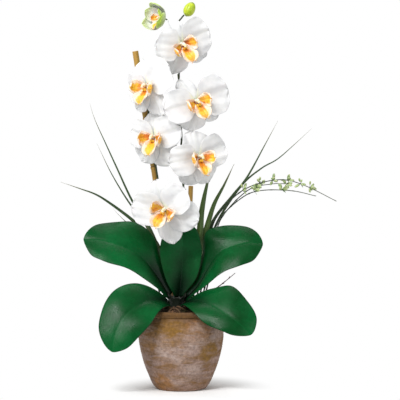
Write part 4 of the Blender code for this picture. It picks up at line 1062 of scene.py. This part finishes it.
def bract(shape, base, ahead, turn, radius):
    """Small pointed scale that hugs the stem at a joint."""
    axes = axes_along(ahead, turn)
    rows, columns = 12, 8
    u, t = np.meshgrid(np.linspace(0, 1, rows + 1), np.linspace(-1, 1, columns + 1), indexing="ij")
    wrap = 1.25 * np.sqrt(np.clip(1 - u ** 1.6, 0.002, 1))
    r = radius + 0.15 + 1.1 * u ** 2
    grid = base + axes[0] * (r * np.cos(t * wrap))[..., None] \
        + axes[1] * (r * np.sin(t * wrap))[..., None] + axes[2] * (7.5 * u - 1)[..., None]
    shape.sheet(grid, 0.22 * np.sqrt(np.clip(1 - t ** 4, 0, 1)), u, t, 0.45)


def pedicel(shape, flower, path):
    ahead = facing(flower)[2]
    centre = np.array(flower["centre"], float)
    end = centre + ahead * (SEPAL_LEVEL_MM - 0.2)
    start = path[np.argmin(np.abs(path[:, 2] - (centre[2] - PEDICEL_DROP_MM)))]
    behind = end - ahead * (6 if flower is HALF_OPEN else 9)
    middle = start + (behind - start) * 0.55 + (0, 0, -2)
    line = even_path([start, middle, behind, end], 40)
    u = np.linspace(0, 1, 40)
    radii = PEDICEL_RADIUS_MM * (0.92 + 0.10 * np.cos(u * 9)) + 0.9 * np.clip((u - 0.82) / 0.18, 0, 1) ** 2
    shape.tube(line, radii, 12, tone=0.5 + 0.3 * u.mean())


# ---------------------------------------------------------------- flowers

def blade_share(u, kind):
    """Half width of a petal or sepal along it, as a share of its widest."""
    tables = {"petal": (0.12, 0.55, 0.82, 0.95, 1.0, 1.0, 1.0, 0.99, 0.97, 0.94, 0.90),
              "sepal": (0.14, 0.48, 0.74, 0.90, 0.98, 1.0, 1.0, 0.98, 0.94, 0.87, 0.78)}
    table = [(v, 0, 0) for v in tables[kind]]
    start = 0.62 if kind == "petal" else 0.58
    closing = np.sqrt(np.clip(1 - np.clip((u - start) / (1 - start), 0, 1) ** 2.4, 0.0004, 1))
    return curve(table, u)[..., 0] * closing


def tepal_points(kind, angle, length, width, fall, cup, seed, rng):
    """Grid of one petal or sepal in its flower's own frame, in millimetres."""
    rows, columns = (54, 40) if kind == "petal" else (46, 30)
    u1 = 1 - (1 - np.linspace(0, 1, rows + 1)) ** 1.4
    s1 = np.linspace(-1, 1, columns + 1)
    u, t = np.meshgrid(u1, np.sign(s1) * (1 - (1 - np.abs(s1)) ** 1.3), indexing="ij")
    r = HUB_MM * 0.6 + (length - HUB_MM * 0.6) * u
    half = width / 2 * (1.08 if kind == "petal" else 1.14) * blade_share(u, kind)
    a = math.radians(angle)
    across = t * half
    far = across / (width / 2)
    fold = rng.uniform(0.55, 1.0) * (4.4 if kind == "petal" else 3.2)
    phase, swing = rng.uniform(0, TAU, 6), rng.uniform(0.7, 1.3, 6)
    ahead = -fall * (r / length) ** 2 + cup * half * t * t
    ahead += fold * (np.sqrt(far ** 2 + 0.004) - 0.06) * np.sin(math.pi * np.clip(u * 1.05, 0, 1)) ** 0.7
    ahead -= 0.55 * np.exp(-(across / 1.3) ** 2) * (1 - u)
    ahead += 2.0 * swing[0] * np.sin(2.2 * far + phase[0]) * u * u
    ahead += 1.25 * swing[1] * np.sin(6.0 * far + phase[1] + 1.5 * u) * u
    ahead += 0.50 * swing[2] * np.sin(13.0 * far + phase[2] + 2.0 * u) * u
    ruffle = np.abs(t) ** 4 * u ** 1.2
    ahead += ruffle * (1.25 * swing[3] * np.sin(13 * u + phase[3] + np.sign(t)) + 0.5 * np.sin(29 * u + phase[4]))
    ahead += 1.1 * swing[5] * np.sin(9 * t + phase[5]) * np.clip((u - 0.72) / 0.28, 0, 1) ** 2
    out = r + 0.9 * np.sin(5 * t + phase[4]) * u ** 3
    spot = np.stack([out, across, np.full_like(u, float(seed))], axis=-1)
    ahead += 0.55 * noise(spot, 13, seed, 2) * u
    points = np.stack([out * math.cos(a) - across * math.sin(a),
                       out * math.sin(a) + across * math.cos(a), ahead], axis=-1)
    return points, u, t


def petal_half(u, t, most=0.42):
    return most * np.sqrt(np.clip(1 - np.abs(t) ** 6, 0, 1)) * np.clip((1 - u) / 0.03, 0, 1) ** 0.5


def in_world(points, flower):
    return np.asarray(flower["centre"], float) + points @ facing(flower)


def lip_lobe(shape, flower, angle, spine, halves, curl, seed, scale=1.0, rows=34, columns=22, twist=0.0):
    """One lobe of a lip: a sheet that follows a spine of (out, ahead) and curls at its sides."""
    u, t = np.meshgrid(np.linspace(0, 1, rows + 1), np.linspace(-1, 1, columns + 1), indexing="ij")
    a = math.radians(angle)
    line = curve([(r, z, 0) for r, z in spine], u)
    step = unit(curve([(r, z, 0) for r, z in spine], np.minimum(u + 0.02, 1))
                - curve([(r, z, 0) for r, z in spine], np.maximum(u - 0.02, 0)))
    closing = np.sqrt(np.clip(1 - np.clip((u - 0.78) / 0.22, 0, 1) ** 2.2, 0.001, 1))
    half = curve([(w, 0, 0) for w in halves], u)[..., 0] * closing
    across = t * half * np.cos(twist * u)
    lift = curl * half * t * t + 1.9 * np.sin(9 * u + 5 * t + seed) * np.abs(t) ** 2.4
    lift = lift + 0.7 * np.sin(15 * t + seed) * u * (1 - np.abs(t)) + t * half * np.sin(twist * u)
    lift = lift - 0.7 * np.exp(-(across / 1.2) ** 2) * u * (1 - u)
    out, ahead = line[..., 0] - step[..., 1] * lift, line[..., 1] + step[..., 0] * lift
    points = np.stack([out * math.cos(a) - across * math.sin(a),
                       out * math.sin(a) + across * math.cos(a), ahead], axis=-1) * scale
    points[..., 2] += LIP_LEVEL_MM
    thick = 0.5 * scale * np.sqrt(np.clip(1 - t ** 6, 0, 1)) * np.clip((1 - u) / 0.05, 0, 1) ** 0.5
    shape.sheet(in_world(points, flower), thick, u, t, (seed * 0.37) % 1)


def build_lip(key, flower, looks, scale=1.12):
    """Lip with a tongue, two side lobes, a callus and tendrils, and the column above it."""
    shape = Shape()
    roll, seed = flower["roll"], 1.0 + len(key) + ord(key[0]) % 7
    tongue = [(2.4, -1), (8, 2.4), (13, 7), (17.5, 11.5), (22, 14.5), (27, 14.5)]
    wing = [(2.4, -1), (8.6, 1.6), (14.4, 4.6), (18.4, 9.6), (18.6, 15.4), (17.0, 19.0)]
    lip_lobe(shape, flower, roll - 90, tongue, (5.0, 8.4, 10.4, 12.4, 10.4, 5.0), 0.36, seed, scale)
    lip_lobe(shape, flower, roll - 8, wing, (5.0, 9.0, 11.5, 11.5, 8.8, 5.0), 0.30, seed + 1, scale)
    lip_lobe(shape, flower, roll + 188, wing, (5.0, 9.0, 11.5, 11.5, 8.8, 5.0), 0.30, seed + 2, scale)
    frame_rows = facing(flower)
    a = math.radians(roll)
    right = np.array([math.cos(a), math.sin(a), 0.0])
    up = np.array([-math.sin(a), math.cos(a), 0.0])
    ahead = np.array([0, 0, 1.0])
    lift = ahead * LIP_LEVEL_MM

    def spot(x, y, z):
        return in_world((right * x + up * y + ahead * z) * scale + lift, flower)

    for side in (-1, 1):
        line = [spot(side * 0.8, -25.0, 14.6), spot(side * 2.6, -28.0, 14.6), spot(side * 4.6, -27.6, 17.4),
                spot(side * 4.0, -25.4, 19.6), spot(side * 2.4, -24.6, 18.8)]
        shape.tube(even_path(line, 22), np.linspace(0.55, 0.16, 22) * scale, 8, 0, 0.4)
    axes = np.array([right, up * 0.8 + ahead * 0.6, ahead * 0.8 - up * 0.6]) @ frame_rows
    for side in (-1, 1):
        shape.blob(spot(side * 1.7, -5.4, 4.6), axes, np.array((1.9, 2.7, 1.7)) * scale, 12, 16, 0.5, 0.5, 1,
                   lambda b: b * (1 + 0.12 * noise(b * 9, 5, 3, 2))[:, None])
    core = [spot(0, 0.2, -2.2), spot(0, 1.2, 2.4), spot(0, 2.0, 6.0), spot(0, 1.2, 9.2), spot(0, -0.2, 10.6)]
    shape.tube(even_path(core, 30), np.interp(np.arange(30), [0, 8, 20, 29], [2.3, 2.2, 2.8, 2.0]) * scale, 20,
               0, 0.5, 2, relief=lambda p: 0.12 * noise(p, 1.6, 7, 2))
    shape.blob(spot(0, -0.9, 10.6), axes, np.array((2.2, 1.9, 1.6)) * scale, 12, 18, 0, 0.8, 2,
               lambda b: b * (1 - 0.18 * np.exp(-(b[:, :1] / 0.16) ** 2)))
    shape.build("lip_" + key + "_form", ["lip_" + key], looks)


def build_flowers(petal, sepal, lip_looks):
    rng = np.random.default_rng(5)
    for index, (key, flower) in enumerate(FLOWERS.items()):
        for part, kind, fall, cup, level in (("sepals", "sepal", 9, -0.06, SEPAL_LEVEL_MM),
                                             ("petals", "petal", 4, 0.05, 0.0)):
            shape = Shape()
            for k, (angle, length, width) in enumerate(flower[part]):
                seed = 10 * index + 3 * k + (0 if kind == "petal" else 50)
                points, u, t = tepal_points(kind, angle, length, width, fall, cup, seed, rng)
                points[..., 2] += level - 0.5 * k
                shape.sheet(in_world(points, flower), petal_half(u, t), u, t, rng.uniform())
            hub = in_world(np.array([0, 0, level + (-0.6 if kind == "sepal" else 0.2)]), flower)
            shape.blob(hub, facing(flower), (4.4, 4.4, 1.5), 10, 20, 0.0, 0.5, 0,
                       lambda b: b * (1 + 0.10 * np.cos(3 * np.arctan2(b[:, 1:2], b[:, :1]))))
            look = petal if kind == "petal" else sepal
            shape.build(f"{part}_{key}_form", [f"{part}_{key}"], [look])
        build_lip(key, flower, lip_looks)


def cupped(flower, angle, spine, halves, seed, flare=0.0):
    """Sheet of a cupped lobe that bends round its flower's axis."""
    u1 = 1 - (1 - np.linspace(0, 1, 41)) ** 1.3
    u, t = np.meshgrid(u1, np.linspace(-1, 1, 31), indexing="ij")
    line = curve([(r, z, 0) for r, z in spine], u)
    closing = np.sqrt(np.clip(1 - np.clip((u - 0.74) / 0.26, 0, 1) ** 2.2, 0.001, 1))
    half = curve([(w, 0, 0) for w in halves], u)[..., 0] * closing
    r = line[..., 0] + flare * u * t * t + 0.8 * np.sin(5 * t + seed) * u * u + 0.5 * np.sin(11 * u + seed) * np.abs(t) ** 3
    turn = math.radians(angle) + t * half / np.maximum(r, 4)
    ahead = line[..., 1] - 0.05 * half * t * t + 0.5 * np.cos(7 * t + seed) * u * u
    return in_world(np.stack([r * np.cos(turn), r * np.sin(turn), ahead], axis=-1), flower), u, t


def shortened(spine, share):
    return [(r * (0.35 + 0.65 * share), z * share) for r, z in spine]


def build_half_open(petal, sepal, lip_looks):
    outer = [(2.2, -2.6), (11, -0.1), (18.5, 6.4), (23, 16.4), (23, 27.4)]
    inner = [(2.2, 0), (9, 4), (15, 10), (18.5, 18), (19, 26)]
    shape = Shape()
    for k, (angle, share) in enumerate(HALF_OPEN_SEPALS):
        grid, u, t = cupped(HALF_OPEN, angle, shortened(outer, share), (2.0, 10.5, 17, 17, 9.5), k + 1.0)
        shape.sheet(grid, petal_half(u, t, 0.5), u, t, 0.3 * k)
    shape.build("sepals_half_open_form", ["sepals_half_open"], [sepal])
    shape = Shape()
    for k, (angle, share) in enumerate(HALF_OPEN_PETALS):
        grid, u, t = cupped(HALF_OPEN, angle, shortened(inner, share), (2.0, 9, 14.5, 14, 8), k + 4.0)
        shape.sheet(grid, petal_half(u, t, 0.45), u, t, 0.2 + 0.3 * k)
    shape.build("petals_half_open_form", ["petals_half_open"], [petal])
    build_lip("half_open", HALF_OPEN, lip_looks, 0.74)


def build_bud(look, stem_look_used):
    """Egg-shaped bud of three closed sepals, with raised seams that meet at its tip."""
    shape = Shape()
    tilt = np.array([[math.cos(BUD_TILT), 0, -math.sin(BUD_TILT)], [0, 1, 0],
                     [math.sin(BUD_TILT), 0, math.cos(BUD_TILT)]])

    def form(ball):
        turn = np.arctan2(ball[:, 1], ball[:, 0])
        z = ball[:, 2]
        taper = 1.0 - 0.10 * (z + 1)
        groove = np.exp(-((np.abs(np.sin(1.5 * turn + 0.4 * z))) / 0.13) ** 2)
        body = (1 - 0.05 * groove * (1 - z * z) ** 0.3) * taper
        body = body + 0.02 * np.sin(3 * turn) * np.sqrt(np.clip(1 - z * z, 0, 1))
        return np.stack([ball[:, 0] * body * 1.02, ball[:, 1] * body * 1.02, z], axis=-1)

    shape.blob(BUD_CENTRE_MM, tilt, (BUD_WIDTH_MM / 2, BUD_WIDTH_MM / 2, BUD_LENGTH_MM / 2), 56, 96, 0, 0.5, 0, form)
    ball = shape.marks[0]
    turn, z = (ball[:, 1] - 0.5) * TAU, ball[:, 0] * 2 - 1
    marks = ball.copy()
    marks[:, 2] = np.abs(np.sin(1.5 * turn + 0.4 * z))
    shape.marks[0] = marks
    foot = np.array(BUD_CENTRE_MM) - tilt[2] * BUD_LENGTH_MM / 2
    shape.tube(even_path([foot - tilt[2] * 0.4, foot + tilt[2] * 0.6, foot + tilt[2] * 1.8], 10),
               np.linspace(1.7, 4.0, 10), 18, 0, 0.9, 1)
    shape.build("bud_form", ["bud"], [look, stem_look_used])


# ---------------------------------------------------------------- litter

def build_litter(looks):
    root, twig_skin, bark = looks
    for seed, (name, points) in enumerate(ROOTS_MM.items()):
        shape = Shape()
        shape.tube(even_path(points, 70), np.linspace(1.62, 1.0, 70) * (1 + 0.06 * np.sin(np.arange(70) * 0.7)),
                   16, relief=lambda p: 0.24 * noise(p, 1.9, seed + 3, 2))
        shape.build(name + "_dry", [name], [root])
    shape = Shape()
    line = np.array(TWIG_MM, float)
    line[0, 2] = soil_height(line[0, 0], line[0, 1]) - 1.0
    path = even_path(line, 140)
    radii = np.linspace(1.35, 0.55, 140)
    for place in (0.3, 0.52, 0.7, 0.86):
        radii = radii + 0.4 * np.exp(-((np.linspace(0, 1, 140) - place) / 0.012) ** 2)
    shape.tube(path, radii, 12, relief=lambda p: 0.14 * noise(p, 1.5, 9, 2))
    for i, out in ((73, (0.2, -0.3, 0.9)), (98, (0.9, 0.2, -0.3)), (120, (0.1, 0.4, 0.9))):
        shape.blob(path[i] + np.array(out) * 1.2, axes_along(out), (0.7, 0.7, 1.5), 8, 10)
    shape.build("twig_bare", ["twig"], [twig_skin])
    shape = Shape()
    a, b, c = math.radians(-8), math.radians(10), math.radians(12)
    spin = np.array([[math.cos(c), math.sin(c), 0], [-math.sin(c), math.cos(c), 0], [0, 0, 1]])
    lean = np.array([[math.cos(b), 0, -math.sin(b)], [0, 1, 0], [math.sin(b), 0, math.cos(b)]])
    roll = np.array([[1, 0, 0], [0, math.cos(a), math.sin(a)], [0, -math.sin(a), math.cos(a)]])

    def form(ball):
        boxy = np.sign(ball) * np.abs(ball) ** 0.5
        return boxy * (1 + 0.10 * noise(ball * 9, 4, 6, 3))[:, None]

    shape.blob(CHIP_CENTRE_MM, roll @ lean @ spin, np.array(CHIP_SIZE_MM) / 2 * 0.95, 26, 40, 0, 1.0, 0, form)
    shape.build("bark_chip_split", ["bark_chip"], [bark])


# ---------------------------------------------------------------- stage

def area_light(name, place, target, size, power, colour=(1, 1, 1)):
    data = bpy.data.lights.new(name, "AREA")
    data.shape, data.size, data.size_y = "RECTANGLE", size[0], size[1]
    data.energy, data.color = power, colour
    item = bpy.data.objects.new(name, data)
    bpy.context.scene.collection.objects.link(item)
    item.matrix_world = aimed(place, target)
    return item


def aimed(place, target):
    from mathutils import Matrix, Vector
    away = Vector(place) - Vector(target)
    turn = away.to_track_quat("Z", "Y").to_matrix().to_4x4()
    return Matrix.Translation(Vector(place)) @ turn


def build_stage():
    """White studio: a floor that fades into the white surround, soft lights and the camera."""
    scene = bpy.context.scene
    scene.view_settings.view_transform = "Standard"
    mesh = bpy.data.meshes.new("studio_floor")
    bm = bmesh.new()
    bmesh.ops.create_circle(bm, cap_ends=True, segments=96, radius=14.0)
    bm.to_mesh(mesh)
    bm.free()
    floor = bpy.data.objects.new("studio_floor", mesh)
    scene.collection.objects.link(floor)
    floor.location = (0, 0, -0.0005)
    material = bpy.data.materials.new("studio_floor_look")
    material.use_nodes = True
    nodes, links = material.node_tree.nodes, material.node_tree.links
    shader = nodes["Principled BSDF"]
    shader.inputs["Roughness"].default_value = 0.9
    shader.inputs["Specular IOR Level"].default_value = 0.1
    shader.inputs["Base Color"].default_value = (0.93, 0.93, 0.93, 1)
    glow = nodes.new("ShaderNodeEmission")
    glow.inputs["Strength"].default_value = 1.0
    where, reach = nodes.new("ShaderNodeTexCoord"), nodes.new("ShaderNodeVectorMath")
    reach.operation = "LENGTH"
    share = nodes.new("ShaderNodeMapRange")
    share.interpolation_type = "SMOOTHSTEP"
    share.inputs["From Min"].default_value, share.inputs["From Max"].default_value = 0.07, 0.17
    blend = nodes.new("ShaderNodeMixShader")
    links.new(where.outputs["Object"], reach.inputs[0])
    links.new(reach.outputs["Value"], share.inputs["Value"])
    links.new(share.outputs[0], blend.inputs[0])
    links.new(shader.outputs[0], blend.inputs[1])
    links.new(glow.outputs[0], blend.inputs[2])
    links.new(blend.outputs[0], nodes["Material Output"].inputs["Surface"])
    mesh.materials.append(material)

    world = bpy.data.worlds.new("studio_world")
    scene.world = world
    world.use_nodes = True
    nodes, links = world.node_tree.nodes, world.node_tree.links
    seen, lit = nodes["Background"], nodes.new("ShaderNodeBackground")
    seen.inputs["Color"].default_value = lit.inputs["Color"].default_value = (1, 1, 1, 1)
    seen.inputs["Strength"].default_value, lit.inputs["Strength"].default_value = 1.0, 0.42
    path, blend = nodes.new("ShaderNodeLightPath"), nodes.new("ShaderNodeMixShader")
    links.new(path.outputs["Is Camera Ray"], blend.inputs[0])
    links.new(lit.outputs[0], blend.inputs[1])
    links.new(seen.outputs[0], blend.inputs[2])
    links.new(blend.outputs[0], nodes["World Output"].inputs["Surface"])

    area_light("key_light", (-1.5, -1.7, 1.9), (0, 0, 0.35), (1.0, 1.0), 44)
    area_light("fill_light", (1.9, -1.3, 1.0), (0, 0, 0.35), (1.4, 1.4), 10)
    area_light("top_light", (0.2, 0.5, 2.4), (0, 0, 0.35), (1.4, 1.0), 12)
    area_light("leaf_light", (-0.42, -1.30, 1.62), (-0.10, -0.08, 0.13), (0.40, 0.22), 17)

    data = bpy.data.cameras.new("studio_camera")
    data.lens, data.sensor_width = 135.3, 36
    data.clip_start, data.clip_end = 0.05, 60
    camera = bpy.data.objects.new("studio_camera", data)
    scene.collection.objects.link(camera)
    camera.matrix_world = aimed((0.0329, -2.6, 0.40), (0.0329, 0, 0.3259))
    scene.camera = camera


def main():
    build_stage()
    build_pot(clay_look())
    bark = bark_look()
    build_medium([soil_look(), bark, moss_look()])
    dry_root = root_look("dry_root_look", (0.030, 0.014, 0.008), (0.085, 0.045, 0.022), (0.19, 0.12, 0.065))
    twig_skin = root_look("twig_look", (0.018, 0.006, 0.008), (0.045, 0.014, 0.016), (0.10, 0.040, 0.036))
    build_crown([crown_shade_look(), dry_root])
    build_leaves(leaf_look())
    build_grass(grass_look())
    build_sprigs([sprig_look(), floret_look()])
    cut = root_look("bamboo_cut_look", (0.16, 0.09, 0.03), (0.34, 0.22, 0.08), (0.55, 0.42, 0.20))
    build_stakes(bamboo_look(), cut)
    stem = stem_look()
    build_spikes(stem)
    petal = petal_look("petal_white_look", (0.62, 0.66, 0.36), 0.24)
    sepal = petal_look("sepal_white_look", (0.56, 0.62, 0.34), 0.26)
    lips = [lip_look(), callus_look(), column_look()]
    build_flowers(petal, sepal, lips)
    fresh = petal_look("half_open_petal_look", (0.50, 0.68, 0.08), 0.50, 0.62)
    build_half_open(fresh, fresh, lips)
    build_bud(bud_look(), stem)
    build_litter((dry_root, twig_skin, bark))


main()
